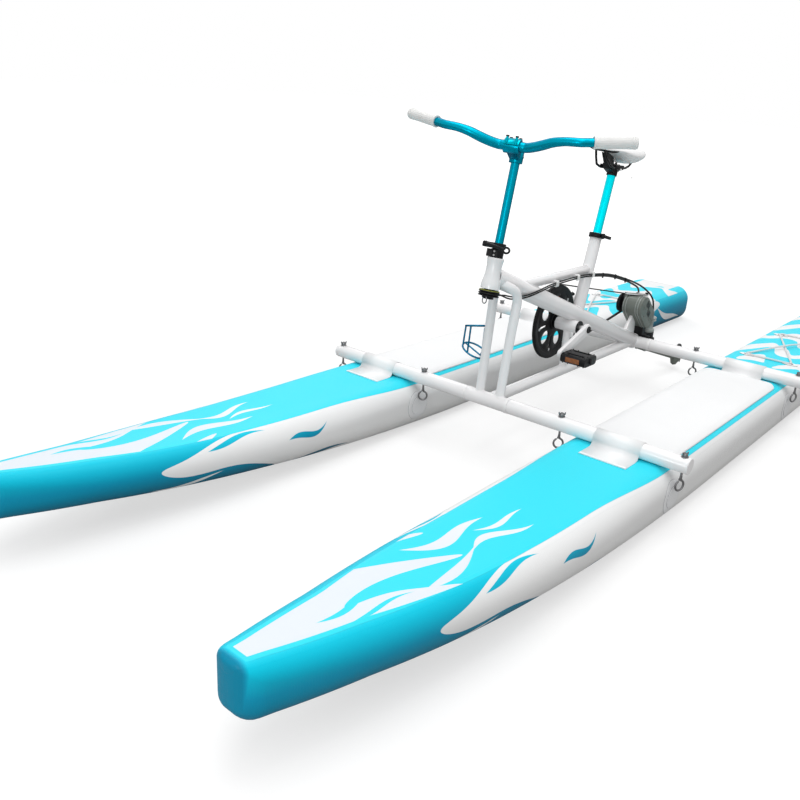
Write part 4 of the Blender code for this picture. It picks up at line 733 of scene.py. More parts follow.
def printed_skin():
    paint = Paint("printed drop-stitch fabric", (0.85, 0.86, 0.87), 0.4, Specular_IOR_Level=0.16)
    y = paint.axes()[1]
    across, rim = paint.attribute("across"), paint.attribute("rim")
    deck = rim.below(0.0, 0.001)
    # The foredeck: turquoise up to a front of flames, white at the nose
    sheared = across + 0.045 * (y * 8.5 + 0.4).sin()
    front = -1.265 + 0.125 * (sheared * 62.0 + 1.3).sin() + 0.04 * (sheared * 118.0).sin()
    body = (y - front).above(0.0, 0.0015)
    for leaf in (
        (-1.19, -0.955, -0.062, -0.035, 0.02, 0.017, 0.012),
        (-1.08, -0.9, 0.03, 0.052, -0.016, 0.012, -0.01),
        (-1.02, -0.86, -0.018, -0.002, 0.012, 0.008, 0.006),
        (-1.26, -1.06, 0.058, 0.02, 0.014, 0.013, 0.0),
    ):
        body = body * (1 - wave_leaf(y, across, *leaf))
    for leaf in (
        (-1.47, -1.3, 0.012, -0.012, 0.01, 0.008, 0.004),
        (-1.43, -1.27, 0.045, 0.05, -0.006, 0.006, 0.004),
    ):
        body = body.most(wave_leaf(y, across, *leaf))
    # A turquoise border runs round the nose
    grown = y.maths("MULTIPLY_ADD", y, -5.0, -5.95, clamp=True)
    body = body.most((rim + 0.01 * grown).above(0.0, 0.001)).most(y.below(-1.604, 0.001))
    # The rear deck: bands of white waves through the turquoise
    waves = (y * 30.0 + (across * 42.0).sin() * 1.5 + 1.1).sin() + 0.55 * (y * 17.0 - across * 60.0).sin()
    calm = y.below(0.6, 0.12)
    body = body * (1 - (waves - 0.25 - calm * 3).above(0.0, 0.03) * y.below(1.5, 0.02))
    tail_panel = (y + 0.06 * (across * 40.0).sin()).above(1.46, 0.002) * abs(across).below(0.085, 0.001)
    body = body * (1 - tail_panel)
    # The side band: turquoise nose and stern, licked by white
    flames = -1.12 + 0.16 * ((rim - 0.01 * (y * 19.0).sin()) * 44.0 + 2.4).sin()
    side = (flames - y).above(0.0, 0.0015)
    for leaf in (
        (-1.52, -1.3, 0.165, 0.128, 0.012, 0.014, 0.0),
        (-1.3, -1.12, 0.112, 0.088, 0.012, 0.009, 0.004),
    ):
        side = side * (1 - wave_leaf(y, rim, *leaf))
    for leaf in (
        (-0.93, -0.79, 0.058, 0.036, 0.012, 0.01, -0.008),
        (-1.16, -0.98, 0.034, 0.016, -0.01, 0.009, 0.004),
        (-0.96, -0.7, 0.15, 0.13, -0.01, 0.011, 0.004),
    ):
        side = side.most(wave_leaf(y, rim, *leaf))
    stern = (y - (1.18 + 0.1 * (rim * 46.0 + 0.8).sin())).above(0.0, 0.0015)
    stern = stern * (1 - wave_leaf(y, rim, 1.24, 1.52, 0.03, 0.115, 0.022, 0.017, 0.008))
    stern = stern.most(wave_leaf(y, rim, 0.98, 1.16, 0.045, 0.08, -0.012, 0.012, 0.006))
    side = side.most(stern)
    tint = deck * body + (1 - deck) * side
    # Turquoise ink darkens down the side, partly print and partly painted shade, and the nose's end takes the
    # same darker ink; the white goes warm grey towards the bottom as painted shade, and the scuff noise adds
    # real grey scuffs
    painted_shade_down = rim.maths("MULTIPLY_ADD", rim, 6.0, 0.12, clamp=True)
    ink = paint.node("ValToRGB", {"stops": [
        (0.0, (0.03, 0.72, 0.87)), (0.16, (0.0, 0.58, 0.76)), (0.5, (0.0, 0.28, 0.45)),
        (1.0, (0.0, 0.05, 0.09)),
    ]}, {0: (painted_shade_down * (1 - deck)).most(y.below(-1.617, 0.012) * 0.62)})
    scuff = paint.noise(5.0, 5.0)
    white = paint.mix(painted_shade_down * 0.7 + scuff * 0.3, (0.86, 0.87, 0.88), (0.77, 0.765, 0.75))
    white = paint.mix(deck * y.below(-1.0, 0.3), white, (0.74, 0.79, 0.845))
    colour = paint.mix(tint, white, ink)
    shade = abs(rim).below(0.0011, 0.0006) * (1 - abs(y).above(1.6, 0.01))
    colour = paint.mix(shade * 0.15, colour, (0.02, 0.16, 0.22))
    cloth = (across * 2600.0).sin() * 0.25 + (y * 2600.0).sin() * 0.25
    weld = rim.above(-0.01, 0.002) * 1.6 + (1 - rim.above(0.012, 0.002)) * 1.2
    sag = paint.noise(7.0, 2.0, (1.0, 0.35, 1.0)) * 9.0
    return paint.finish(colour, 0.38 + 0.12 * scuff, cloth + weld + sag + paint.noise(260.0) * 0.4, 0.0002)


SKIN = printed_skin()
SLOTS[SKIN] = "pvc_fabric"
print("the print uses", len(SKIN.node_tree.nodes), "nodes")

# %% [markdown]
# ## Rolling the grid
# A flat grid has one vertex for each place along the float and each place round it. Every vertex moves to
# its point on the section, the two open edges are merged under the keel, and the ends are filled.

# %% Build both floats


def float_shape():
    quarter = [pi / 2 * i / 8 for i in range(9)]
    stations = [-BOW + BOW_ROUND * (1 - cos(a)) for a in quarter]
    stations += [stations[-1] + (0.219 - stations[-1]) * i / 76 for i in range(1, 77)]
    stations += [0.219 + (STERN - STERN_ROUND - 0.219) * i / 40 for i in range(1, 40)]
    stations += [STERN - STERN_ROUND * (1 - cos(a)) for a in reversed(quarter)]
    half_count = len(around(0.0)) - 1
    bm = bmesh.new()
    rim = bm.verts.layers.float.new("rim")
    across = bm.verts.layers.float.new("across")
    bmesh.ops.create_grid(bm, x_segments=2 * half_count, y_segments=len(stations) - 1, size=1.0)
    for vert in bm.verts:
        i = round((vert.co.x + 1) / 2 * 2 * half_count)
        y = stations[round((vert.co.y + 1) / 2 * (len(stations) - 1))]
        side = 1 if i >= half_count else -1
        reach = around(y)[abs(i - half_count)]
        vert[across], vert[rim] = side * reach, reach - seam_reach(y)
        vert.co = hull_point(y, side * max(reach, 1e-9))
    bmesh.ops.remove_doubles(bm, verts=bm.verts, dist=1e-6)
    bmesh.ops.holes_fill(bm, edges=[e for e in bm.edges if e.is_boundary], sides=0)
    bmesh.ops.recalc_face_normals(bm, faces=bm.faces)
    return bm


LEFT = BASE @ shift(PONTOON_X, 0, 0)
RIGHT = MIRROR @ LEFT
SIDES = (("left", LEFT), ("right", RIGHT))
for side, place in SIDES:
    skin = piece(f"float_skin_{side}", placed(float_shape(), place), SKIN, f"pontoon_{side}", smooth=60)
    print(skin.name, len(skin.data.polygons), "faces")

# %% [markdown]
# ## Welded fabric parts on the float
# Patches, sleeves and anchors are cut from the same coated cloth and welded down, so they follow the skin.
# A flat shape is drawn first, with x round the float, y along it and z as its thickness, and each point is
# then carried on to the skin.

# %% Cloth for the welded parts and a way to lay it on the skin


def coated_cloth(name, colour):
    paint = Paint(name, colour, 0.36, Coat_Weight=0.1)
    x, y, z = paint.axes()
    weave = (x * 2400.0).sin() * 0.5 + (y * 2400.0).sin() * 0.5
    height = weave * 0.4 + paint.noise(90.0, 2.0) * 2.0
    return paint.finish(paint.shaded(0.03, 20.0), 0.33 + 0.1 * paint.noise(40.0), height, 0.00015)


SLEEVE_CLOTH = coated_cloth("white coated cloth", (0.87, 0.875, 0.88))
# The patches are the white cloth made greyer, painted shade under the tube ends; their edge ring is dark
# grey, painted shade round each patch
SHADED_PATCH_CLOTH = coated_cloth("patch cloth with painted shade", (0.8, 0.81, 0.82))
SLOTS |= {SLEEVE_CLOTH: "pvc_fabric", SHADED_PATCH_CLOTH: "pvc_fabric"}
PATCH_EDGE_SHADE = coated_cloth("patch edge painted shade", (0.42, 0.43, 0.44))


def disc(radius, thick, steps=40, rows=5):
    """A thin round patch with enough rings to bend over a corner."""
    flat = [(radius * i / rows * 0.985, thick) for i in range(rows + 1)]
    below = [(radius * i / rows, -0.0004) for i in range(rows - 1, -1, -1)]
    bm = lathe(flat + [(radius, thick * 0.6), (radius, -0.0004)] + below, steps)
    for face in bm.faces:
        face.material_index = int(face.calc_center_median().xy.length > radius * 0.98)
    return bm


def on_skin(bm, y, reach):
    for vert in bm.verts:
        vert.co = hull_point(y + vert.co.y, reach + vert.co.x, vert.co.z)
    return bm


# %% [markdown]
# Each cross tube lies in a fabric sleeve: one strip goes over the tube and ends in a long welded flap. It is
# a line of edges drawn along that route, extruded across the deck, and given its thickness by Solidify.

# %% Sleeves, hems and patches
SLEEVE_WIDTH, PATCH_REACH = 0.125, 0.196


def sleeve_shape(direction):
    route = mm((-89.5, -20), (-70, -20), (-50, -20), (-35, -19.7), (-27.2, -17.2))
    route += [(-0.0224, -0.0112)]
    route += [(0.0206 * cos(a), 0.0206 * sin(a)) for a in (radians(195 - 12.5 * i) for i in range(17))]
    route += mm((22.4, -11.2), (26.8, -16.8), (33.5, -19.2))
    route = smooth_route([(-SLEEVE_WIDTH / 2, -direction * y, z) for y, z in route], 2)
    bm = bmesh.new()
    verts = [bm.verts.new(p) for p in route]
    edges = [bm.edges.new(pair) for pair in zip(verts, verts[1:])]
    push(bm, bmesh.ops.extrude_edge_only(bm, edges=edges), (SLEEVE_WIDTH, 0, 0))
    if sum(face.normal.z for face in bm.faces) < 0:
        bmesh.ops.reverse_faces(bm, faces=bm.faces)
    return bm


for side, place in SIDES:
    for end, y, direction in (("front", 0.0, -1), ("rear", REAR_Y, 1)):
        here = place @ shift(0, y, 0)
        sleeve = piece(f"sleeve_{end}_{side}", placed(sleeve_shape(direction), here), SLEEVE_CLOTH)
        wall = sleeve.modifiers.new("wall", "SOLIDIFY")
        wall.thickness, wall.offset = 0.0014, 1.0
        hem_y = direction * 0.0845
        hem = box((-0.0615, hem_y - 0.005, -0.0195), (0.0615, hem_y + 0.004, -0.017), 0.0006)
        piece(f"sleeve_hem_{end}_{side}", placed(hem, here), SLEEVE_CLOTH)
    patches = []
    for y in (0.0, REAR_Y):
        for sign in (1, -1):
            patches.append(on_skin(disc(0.044, 0.001, 56, 8), y, sign * PATCH_REACH))
            patches.append(on_skin(disc(0.028, 0.0022), y, sign * PATCH_REACH))
    # Patches take the greyer cloth and the dark edge ring: painted shade
    piece(f"side_patches_{side}", placed(joined(*patches), place), [SHADED_PATCH_CLOTH, PATCH_EDGE_SHADE])
    valve = lathe(mm((0, 4.5), (5, 4.5), (5.5, 3.5), (10.5, 3.5), (12.2, 2), (12.2, -6), (0, -6)), 40)
    valve_place = place @ shift(0, STERN, -0.095) @ leaning(1, 0)
    piece(f"air_valve_{side}", placed(valve, valve_place), BLACK_RUBBER)
print("sleeves and patches laid on both floats")

# %% [markdown]
# ## Deck pad and cargo cord
# The pad is 5 mm closed-cell foam, glued flat, so it follows the deck's curve at both edges. It is a plate
# with rounded corners, cut into strips by planes so that its edges can bend down. The cord is elastic,
# braided, and laced through eyelets in oval patches.

# %% Pads and cords


def pad_shape():
    half_x, half_y, corner = 0.1175, 0.4115, 0.04
    outline = []
    for i, (u, v) in enumerate(((1, 1), (-1, 1), (-1, -1), (1, -1))):
        middle = (u * (half_x - corner), v * (half_y - corner))
        outline += arc(middle, corner, i * pi / 2, (i + 1) * pi / 2, 10)
    bm = plate(outline, -0.02, -0.015, 0.0016)
    for x in (0.094, 0.099, 0.104, 0.109, 0.114):
        for sign in (1, -1):
            geometry = bm.verts[:] + bm.edges[:] + bm.faces[:]
            bmesh.ops.bisect_plane(
                bm, geom=geometry, dist=1e-6, plane_co=(sign * x, 0, 0), plane_no=(1, 0, 0),
            )
    for vert in bm.verts:
        past = max(0.0, abs(vert.co.x) - 0.094)
        vert.co.z -= 0.056 - sqrt(0.056**2 - past**2)
    return bm


def cord_route():
    """Round the front anchors, across, round the rear ones and back over the crossing."""
    half, bend, front, rear = 0.075, 0.012, 1.13, 1.52
    lie, inset = -0.0165, half - bend / 2
    over, middle = lie + 0.0076, (front + rear) / 2
    slope, near = (rear - front) / (2 * half), 0.016
    return [
        (-half, front + bend, lie), (-inset, front, lie), (inset, front, lie), (half, front + bend, lie),
        (inset, front + 2.2 * bend, lie), (0, middle, lie), (-inset, rear - 2.2 * bend, lie),
        (-half, rear - bend, lie), (-inset, rear, lie), (inset, rear, lie), (half, rear - bend, lie),
        (inset, rear - 2.2 * bend, lie), (near, middle + near * slope, over),
        (-near, middle - near * slope, over), (-inset, front + 2.2 * bend, lie),
    ]


for side, place in SIDES:
    pad = piece(
        f"foam_pad_{side}", placed(pad_shape(), place @ shift(0, REAR_Y / 2, 0)), PAD_FOAM,
        f"deck_pad_{side}",
    )
    cord = placed(bent(cord_route(), 0.0034, 12, closed=True), place)
    piece(f"cargo_cord_{side}", cord, CORD, f"bungee_{side}")
    anchors = []
    for y in (1.136, 1.514):
        for reach in (-0.071, 0.071):
            oval = disc(0.022, 0.0014)
            bmesh.ops.scale(oval, vec=(1.25, 0.72, 1.0), verts=oval.verts)
            anchors.append(on_skin(oval, y, reach))
            for dx in (-0.009, 0.009):
                eye = lathe(mm((1.6, 1.2), (2.2, 2.6), (3.6, 2.4), (4, 1.2)), 20, ring=True)
                anchors.append(placed(on_skin(placed(eye, shift(dx, 0, 0)), y, reach), paint=1))
    piece(f"cord_anchors_{side}", placed(joined(*anchors), place), [SLEEVE_CLOTH, ZINC])
print("pads, cords and anchors done")

# %% [markdown]
# ## Cross tubes
# Two 40 mm tubes carry everything. A short welded middle piece has a spigot at each end, and an outrigger
# slides over it and clicks on a spring button. All are turned shapes, spun round the X axis.

# %% Middle pieces and outriggers
SPIGOT_BORE, TUBE_RADIUS = 0.0132, 0.02


def middle_tube():
    half = [(TUBE_RADIUS, 0.0585)] + mm(
        (20.8, 60), (20.8, 69.2), (20.2, 70), (16.7, 70), (16.7, 129.2), (16.2, 130),
    ) + [(SPIGOT_BORE, 0.13)]
    return lathe([(radius, -along) for radius, along in reversed(half)] + half, 64, ring=True)


def outrigger():
    tube = lathe([
        (0.017, 0.0703), (0.0188, 0.0703), (0.019, 0.0718), (TUBE_RADIUS, 0.0726), (TUBE_RADIUS, 0.5702),
        (0.0197, 0.5708), (0.0197, 0.5716), (TUBE_RADIUS, 0.5722), (TUBE_RADIUS, 0.5741), (0.0191, 0.575),
        (0.0, 0.575), (0.0, 0.5712), (0.017, 0.5712),
    ], 64, ring=True)
    button = placed(rod(0.0032, 0.0195, 0.0212, 20, 0.0008), shift(0, 0, 0.0855) @ turn(-90, "X"))
    return joined(placed(tube, paint=0), placed(button, paint=1))


for end, y in ENDS:
    here = BASE @ shift(0, y, 0)
    piece(f"middle_tube_{end}", placed(middle_tube(), here @ ACROSS), WHITE, f"{end}_crossmember")
    for side, mirror in (("left", Matrix.Identity(4)), ("right", MIRROR)):
        shape = placed(outrigger(), mirror @ here @ ACROSS)
        piece(f"outrigger_tube_{end}_{side}", shape, [WHITE, STEEL], f"outrigger_{end}_{side}")
print("cross tubes: 2 middle pieces, 4 outriggers")

# %% [markdown]
# ## Tie-downs
# Each of the eight lashing points is a threaded rod through the tube, a wing nut above, and a ring with a
# snap hook below. The ring and the hook are wire, so they are bent bars; the wing nut is a small casting.

# %% One tie-down, copied to eight places


def tie_down():
    seat = 0.0203
    thread = [(0, -0.037), (0.0028, -0.037)]
    thread += [(0.003 - 0.0004 * (i % 2), -0.036 + 0.0009 * i) for i in range(74)]
    threaded = lathe(thread + [(0.0024, 0.0312), (0, 0.0318)], 14)
    washer = lathe([
        (0.0033, seat), (0.0088, seat), (0.009, seat + 0.0006), (0.0086, seat + 0.0013),
        (0.0033, seat + 0.0013),
    ], 28, ring=True)
    hub = lathe([
        (0.0, seat + 0.0013), (0.0066, seat + 0.0013), (0.0068, seat + 0.0025), (0.005, seat + 0.009),
        (0.0046, seat + 0.0098), (0.0, seat + 0.0098),
    ], 24)
    wing = mm((3, 3), (6.6, 3.6), (8.6, 6), (9.4, 10), (9.4, 12.6), (8, 13.4))
    wing += mm((6.6, 12.4), (5.6, 9.6), (3, 8))
    shapes = [threaded, washer, hub]
    for sign in (1, -1):
        shape = plate([(x, z + seat - 0.0008) for x, z in wing], -0.0012, 0.0012, 0.0005)
        upright = Matrix(((0, 0, 1, 0), (sign, 0, 0, 0), (0, 1, 0, 0), (0, 0, 0, 1)))
        shapes.append(placed(shape, upright))
    shapes.append(bent([(0, 0, -0.03), (0, 0, -0.0402)], 0.0033, 14))
    shapes.append(lathe(mm((0, -40), (4.6, -40), (4.6, -37.6), (0, -37.6)), 20))
    hook = [(0, 0.0, -0.04)]
    for i in range(15):
        angle = radians(78 - 22.5 * i)
        hook.append((0, 0.0122 * cos(angle), -0.0545 + 0.0132 * sin(angle)))
    shapes.append(bent(smooth_route(hook, 3), 0.0026, 12))
    gate = mm((0, -11.9, -52), (0, -8.8, -45.2), (0, -3.5, -41.5))
    shapes.append(bent(smooth_route(gate, 3), 0.0015, 10))
    return joined(*shapes)


for end, y in ENDS:
    for side, sign in HANDS:
        for where, x, twist in (("inner", 0.229, 52), ("outer", 0.558, 24)):
            node = f"tie_down_{end}_{side}_{where}"
            shape = placed(tie_down(), BASE @ shift(sign * x, y, 0) @ turn(-twist, "Z"))
            piece(f"lashing_{end}_{side}_{where}", shape, ZINC, node)
print("tie-downs: 8")

# %% [markdown]
# ## The welded frame
# The frame is thin aluminium tube, coped and welded. The coped ends come from the CAD model, and a weld bead
# is laid where two tubes meet: the line where one cylinder cuts the other is worked out from their axes, and
# a small bar is swept along it, swelling a little at each ripple that a welder leaves.

# %% Weld beads


def weld(start, toward, radius, other, other_along, other_radius, size=0.0019, steps=72):
    """A bead where a tube that runs from start meets another tube's skin, in frame coordinates."""
    start, other = Vector(start), Vector(other)
    d, e = Vector(toward).normalized(), Vector(other_along).normalized()
    u = d.orthogonal().normalized()
    v = d.cross(u)
    points = []
    for i in range(steps):
        angle = tau * i / steps
        p = start + radius * (cos(angle) * u + sin(angle) * v)
        w, f = (p - other) - (p - other).dot(e) * e, d - d.dot(e) * e
        a, b, c = f.dot(f), 2 * w.dot(f), w.dot(w) - other_radius**2
        inside = max(0.0, b * b - 4 * a * c)
        points.append(p + d * ((-b - sqrt(inside)) / (2 * a)))
    return bent(points, size, 8, closed=True, radii=[size * (1 + 0.16 * sin(i * 2.6)) for i in range(steps)])


MAIN_FOOT, MAIN_ALONG = (0, -0.045, 0.352), (0, 0.934, -0.352)
SEAT_FOOT, SEAT_ALONG = (0, 0.5036, 0.412), (0, -0.235, -1)
X_AXIS, Y_AXIS, Z_AXIS = (1, 0, 0), (0, 1, 0), (0, 0, 1)
beads = [
    weld((0, 0.2, 0), (0, -1, 0), 0.0165, (0, 0, 0), X_AXIS, 0.02),
    weld((0, 0.6, 0), Y_AXIS, 0.0165, (0, REAR_Y, 0), X_AXIS, 0.02),
    weld((0, 0.6, 0.109), MAIN_ALONG, 0.025, (0, REAR_Y, 0), X_AXIS, 0.0202, 0.0021),
    weld((0, 0.3, 0.305), (0, -1, 0), 0.014, MAIN_FOOT, MAIN_ALONG, 0.025),
    weld((0, 0.3, 0.305), Y_AXIS, 0.014, SEAT_FOOT, SEAT_ALONG, 0.018),
    weld(SEAT_FOOT, SEAT_ALONG, 0.018, MAIN_FOOT, MAIN_ALONG, 0.025),
    weld((0, 0.399, 0.1), Z_AXIS, 0.011, (0, 0.399, 0.143), X_AXIS, 0.019, 0.0016),
    weld((0, 0.399, 0.1), (0, 0, -1), 0.011, (0, 0, 0), Y_AXIS, 0.0165, 0.0016),
]
for x in (0.033, -0.033):
    beads.append(weld((x, 0.018, 0.14), (0, -0.109, -1), 0.0125, (0, 0, 0), X_AXIS, 0.02, 0.0017))
piece("weld_beads", placed(joined(*beads), BASE), WHITE)
print("weld beads:", len(beads))

# %% [markdown]
# The tubes follow. The rail and the legs are new tubes that run into their neighbours; the main tube, seat
# tube, brace and bracket shell keep their coped CAD ends.

# %% Frame tubes
for node, rim in (
    ("main_tube", 0.0006), ("seat_tube", 0.0005), ("top_brace", 0.0005), ("bottom_bracket_shell", 0.0006),
):
    piece(f"{node}_painted", from_cad(node, rim), WHITE, node)
rail = placed(rod(0.0165, 0.006, 0.883, 64), BASE @ leaning(1, 0))
piece("rail_tube", rail, WHITE, "bottom_rail")
for side, sign in HANDS:
    route = mm(
        (33, 4.5, 14), (34.5, 18, 140), (37, 31, 255), (37.4, 33, 280), (36.4, 26.5, 301), (32.5, 12, 313.5),
        (24, -1, 321.5), (12, -9, 329),
    )
    leg = placed(bent(smooth_route([(sign * x, y, z) for x, y, z in route], 8), 0.0125, 32), BASE)
    piece(f"leg_tube_{side}", leg, WHITE, f"front_leg_{side}")
head = lathe(mm(
    (14.8, 0.6), (15.2, 0), (23.9, 0), (24.7, 0.8), (24.7, 10), (24.5, 12.8), (23.2, 20.5), (21.7, 28),
    (20.7, 35), (20, 42), (19.6, 50), (19.7, 58), (20.3, 65.5), (21.2, 71.5), (21.8, 75), (21.9, 78.8),
    (21.2, 80), (15.2, 80), (14.8, 79.4),
), 64, ring=True)
# A filler behind the head tube, whose low face follows the tube's wall so that the post can pass
neck = rod(0.0242, 0.0, 0.05, 64)
for vert in neck.verts:
    if vert.co.z < 0.01:
        vert.co.z = 0.0228 + 0.1744 * vert.co.y
placed(neck, shift(*MAIN_FOOT) @ leaning(0.934, -0.352))
piece("head_tube_turned", joined(placed(head, HEAD), placed(neck, BASE)), WHITE, "head_tube")
cup = mm((10, 36.6), (19.6, 36.6), (20.4, 37.2), (20.4, 40.2), (19.6, 41.2), (10, 41.2))
cups = [placed(lathe([(r, s * h) for r, h in cup], 40, ring=True), CRANK @ ACROSS) for s in (1, -1)]
piece("bracket_cups", joined(*cups), BLACK)
print("frame tubes done")

# %% [markdown]
# ## Steering column
# The black steerer turns in the head tube, with the cable pulley under it and a split clamp on top. The
# anodised post slides in it. Turned parts are spun again with more steps; the steerer, clamp and stem are
# refined copies with their own bolts, and the height lever is a thinning bar that ends in an eyelet.

# %% Steering parts
PULLEY_PLACE, CLAMP_PLACE = -0.012, 0.1098
BAR_REACH, BAR_HEIGHT = -0.051, 0.35
piece("steerer_black", from_cad("steerer", 0.0006), BLACK, "steerer", "steering")
pulley = lathe(mm(
    (14.8, -7), (26.8, -7), (27.5, -6.3), (27.5, -5), (25, -3), (22.8, -2.5), (22.7, 0), (22.8, 2.5), (25, 3),
    (27.5, 5), (27.5, 6.3), (26.8, 7), (14.8, 7),
), 64, ring=True)
stripe = mm((15, 7.2), (26.2, 7.2), (26.4, 7.6), (26.2, 8.8), (15, 8.8))
stripe = lathe(stripe, 56, ring=True)
hanger = bent([(u, 0, v) for u, v in circle(0.0088, 32)], 0.0014, 8, closed=True)
hanger = placed(hanger, shift(0.006, -0.0235, -0.0165) @ turn(-20, "Z"), 2)
lug = placed(box((-0.003, -0.0262, -0.0105), (0.01, -0.0215, -0.0065), 0.0008), paint=0)
pulley = joined(placed(pulley, paint=0), placed(stripe, paint=1), hanger, lug)
piece(
    "cable_pulley", placed(pulley, HEAD @ shift(0, 0, PULLEY_PLACE)), [BLACK, SEAL_YELLOW, ZINC],
    "steering_pulley", "steering",
)
bolts = []
for height in (0.0862, 0.0956):
    place = HEAD @ turn(-82, "Z") @ shift(0.016, 0, height) @ ACROSS
    bolts.append(placed(socket_bolt(0.0023, 0.0026), place))
piece("collar_bolts", joined(*bolts), STEEL, body="steering")
piece("height_clamp_black", from_cad("height_clamp", 0.0005), BLACK, "height_clamp", "steering")
nut = placed(rod(0.004, 0.007, 0.0088, 24, 0.0005), HEAD @ shift(-0.024, -0.0262, CLAMP_PLACE))
piece("height_clamp_pin", nut, STEEL, body="steering")
LEVER = HEAD @ shift(-0.024, -0.0262, CLAMP_PLACE) @ turn(-6, "Z")
grip_bar = smooth_route(mm((0, 0, 0), (16, -1, 0), (34, -3, -1.5), (52, -2, -4), (63, 0, -5.8)), 6)
last = len(grip_bar) - 1
handle = bent(grip_bar, 0.0048, 20, radii=[0.0058 - 0.0022 * i / last for i in range(last + 1)])
eyelet = [(0.0712 + 0.0096 * u, 0.003 * v, -0.0066 - 0.0016 * u + 0.0066 * v) for u, v in circle(1.0, 28)]
boss = rod(0.0068, -0.0062, 0.0066, 32, 0.0012)
lever = joined(handle, bent(eyelet, 0.0027, 12, closed=True), boss, rod(0.0052, -0.0045, 0.005, 20, 0.001))
piece("height_lever_black", placed(lever, LEVER), BLACK, "height_lever", "height_lever")
post = pipe(0.0111, 0.01, 0.35, 0.0018, 56, 0.0005)
piece("column_post", placed(post, HELM), TURQUOISE, "stem_post", "handlebar_post")
piece("stem_body", from_cad("stem", 0.001), TURQUOISE, "stem", "handlebar_post")
piece("stem_faceplate", from_cad("faceplate", 0.0009), BRIGHT_TURQUOISE, "faceplate", "handlebar_post")
bolts = []
for x in (-0.012, 0.012):
    for y in (-0.016, 0.016):
        here = HELM @ shift(x, BAR_REACH + y, BAR_HEIGHT + 0.0186)
        bolts += [
            placed(socket_bolt(0.0042, 0.0034), here, 0), placed(rod(0.0018, 0.0008, 0.0014, 6), here, 1),
        ]
bolts.append(placed(socket_bolt(0.0034, 0.004), HELM @ shift(0.012, 0.006, 0.332) @ ACROSS, 0))
piece("stem_bolts", joined(*bolts), [BLACK, STEEL], body="handlebar_post")
print("steering column done")

# %% [markdown]
# ## Handlebar and grips
# The bar is one tube, swaged thinner outside its rise, so it is swept along a smooth line with a radius for
# each point. The grips are turned, then fine grooves are pressed in along them by moving each vertex in by
# the cosine of its angle.

# %% Bar and grips
bend_point, end_point = Vector((0.1683, -0.0366, 0.0241)), Vector((0.2858, 0.0156, 0.0463))
outward = (end_point - bend_point).normalized()
stations = [
    (0.0, 0.0, 0.0, 0.012), (0.022, 0.0, 0.0, 0.012), (0.036, 0.0, 0.0, 0.012), (0.056, -0.01, 0.003, 0.012),
    (0.08, -0.022, 0.009, 0.012), (0.105, -0.032, 0.0165, 0.0114), (0.135, -0.0365, 0.0218, 0.0104),
    (*bend_point, 0.0104), (*(bend_point + outward * 0.02), 0.0104), (*(bend_point + outward * 0.06), 0.0104),
    (*end_point, 0.0104),
]
half_bar = [Vector(p) for p in stations]
line = smooth_route([Vector((-p[0], *p[1:])) for p in reversed(half_bar[1:])] + half_bar, 5)
bar = bent([p.xyz for p in line], 0.012, 32, radii=[p[3] for p in line])
BAR = HELM @ shift(0, BAR_REACH, BAR_HEIGHT)
piece("riser_bar", placed(bar, BAR), TURQUOISE, "handlebar", "handlebar_post")


def grip_shape():
    length, radius, groove = 0.102, 0.0138, 0.0131
    low = 0.003 - length
    rows = [
        (0.0107, low), (0.0142, low), (0.0149, low + 0.0006), (0.0149, low + 0.004), (0.0143, low + 0.0047),
    ]
    rows += [(groove, low + 0.005), (groove, low + 0.0062), (0.0137, low + 0.0066)]
    rows += [(radius, low + 0.0072 + (length - 0.025) * i / 10) for i in range(11)]
    for ring_low in (-0.0168, -0.0118):
        rows += [(groove, ring_low), (groove, ring_low + 0.001)]
        rows += [(0.0142, ring_low + 0.0013), (0.0142, ring_low + 0.0042)]
    rows += [
        (groove, -0.0068), (groove, -0.0058), (0.0145, -0.0054), (0.0145, -0.0012), (0.0135, 0.0016),
        (0.0108, 0.003), (0.0, 0.003), (0.0, 0.0003), (0.0107, 0.0003),
    ]
    bm = lathe(rows, 120, ring=True)
    for vert in bm.verts:
        if abs(hypot(vert.co.x, vert.co.y) - radius) < 1e-5:
            dip = 0.0005 * max(0.0, cos(20 * atan2(vert.co.y, vert.co.x))) ** 2
            vert.co.x *= 1 - dip / radius
            vert.co.y *= 1 - dip / radius
    return bm


for side, sign in HANDS:
    direction = Vector((sign * outward.x, outward.y, outward.z)).to_track_quat("Z", "Y").to_matrix().to_4x4()
    grip_place = BAR @ shift(sign * end_point.x, end_point.y, end_point.z) @ direction
    piece(
        f"rubber_grip_{side}", placed(grip_shape(), grip_place), WHITE_RUBBER, f"grip_{side}",
        "handlebar_post",
    )
print("bar", round(2 * end_point.x, 3), "m across, before the grip ends")

# %% [markdown]
# ## Saddle and seatpost
# A saddle is a hard plastic shell under a stretched vinyl cover. Its form is drawn as sections from nose to
# tail and rolled from one grid; the cover is crowned, and the underside is the black shell, a little sunk.

# %% Saddle
# The black shell shows under the saddle ahead of this place
SHELL_END = 0.52


def saddle_point(share, turned):
    """One point of the saddle: a share of its length from the nose, and an angle round its section."""
    width = 0.016 + 0.063 * max(0.0, (share - 0.22) / 0.78) ** 1.3
    rounding = sqrt(max(0.0, 1 - (max(0.0, share - 0.8) / 0.205) ** 2))
    nose = sqrt(min(1.0, (share + 0.015) / 0.09))
    half = width * rounding * nose
    top = 0.67 - 0.006 * sin(pi * share) - 0.012 * share + 0.006 * share**3
    skirt = min(1.0, max(0.0, (share - 0.47) / 0.34))
    depth = (0.015 + 0.033 * skirt * skirt * (3 - 2 * skirt)) * (0.35 + 0.65 * min(rounding, nose))
    across = copysign(abs(cos(turned)) ** 0.8, cos(turned))
    rise = sin(turned)
    tuck = 1 - 0.1 * max(0.0, -rise)
    return Vector((across * half * tuck, 0.4 + 0.252 * share, top - depth / 2 + rise * depth / 2))


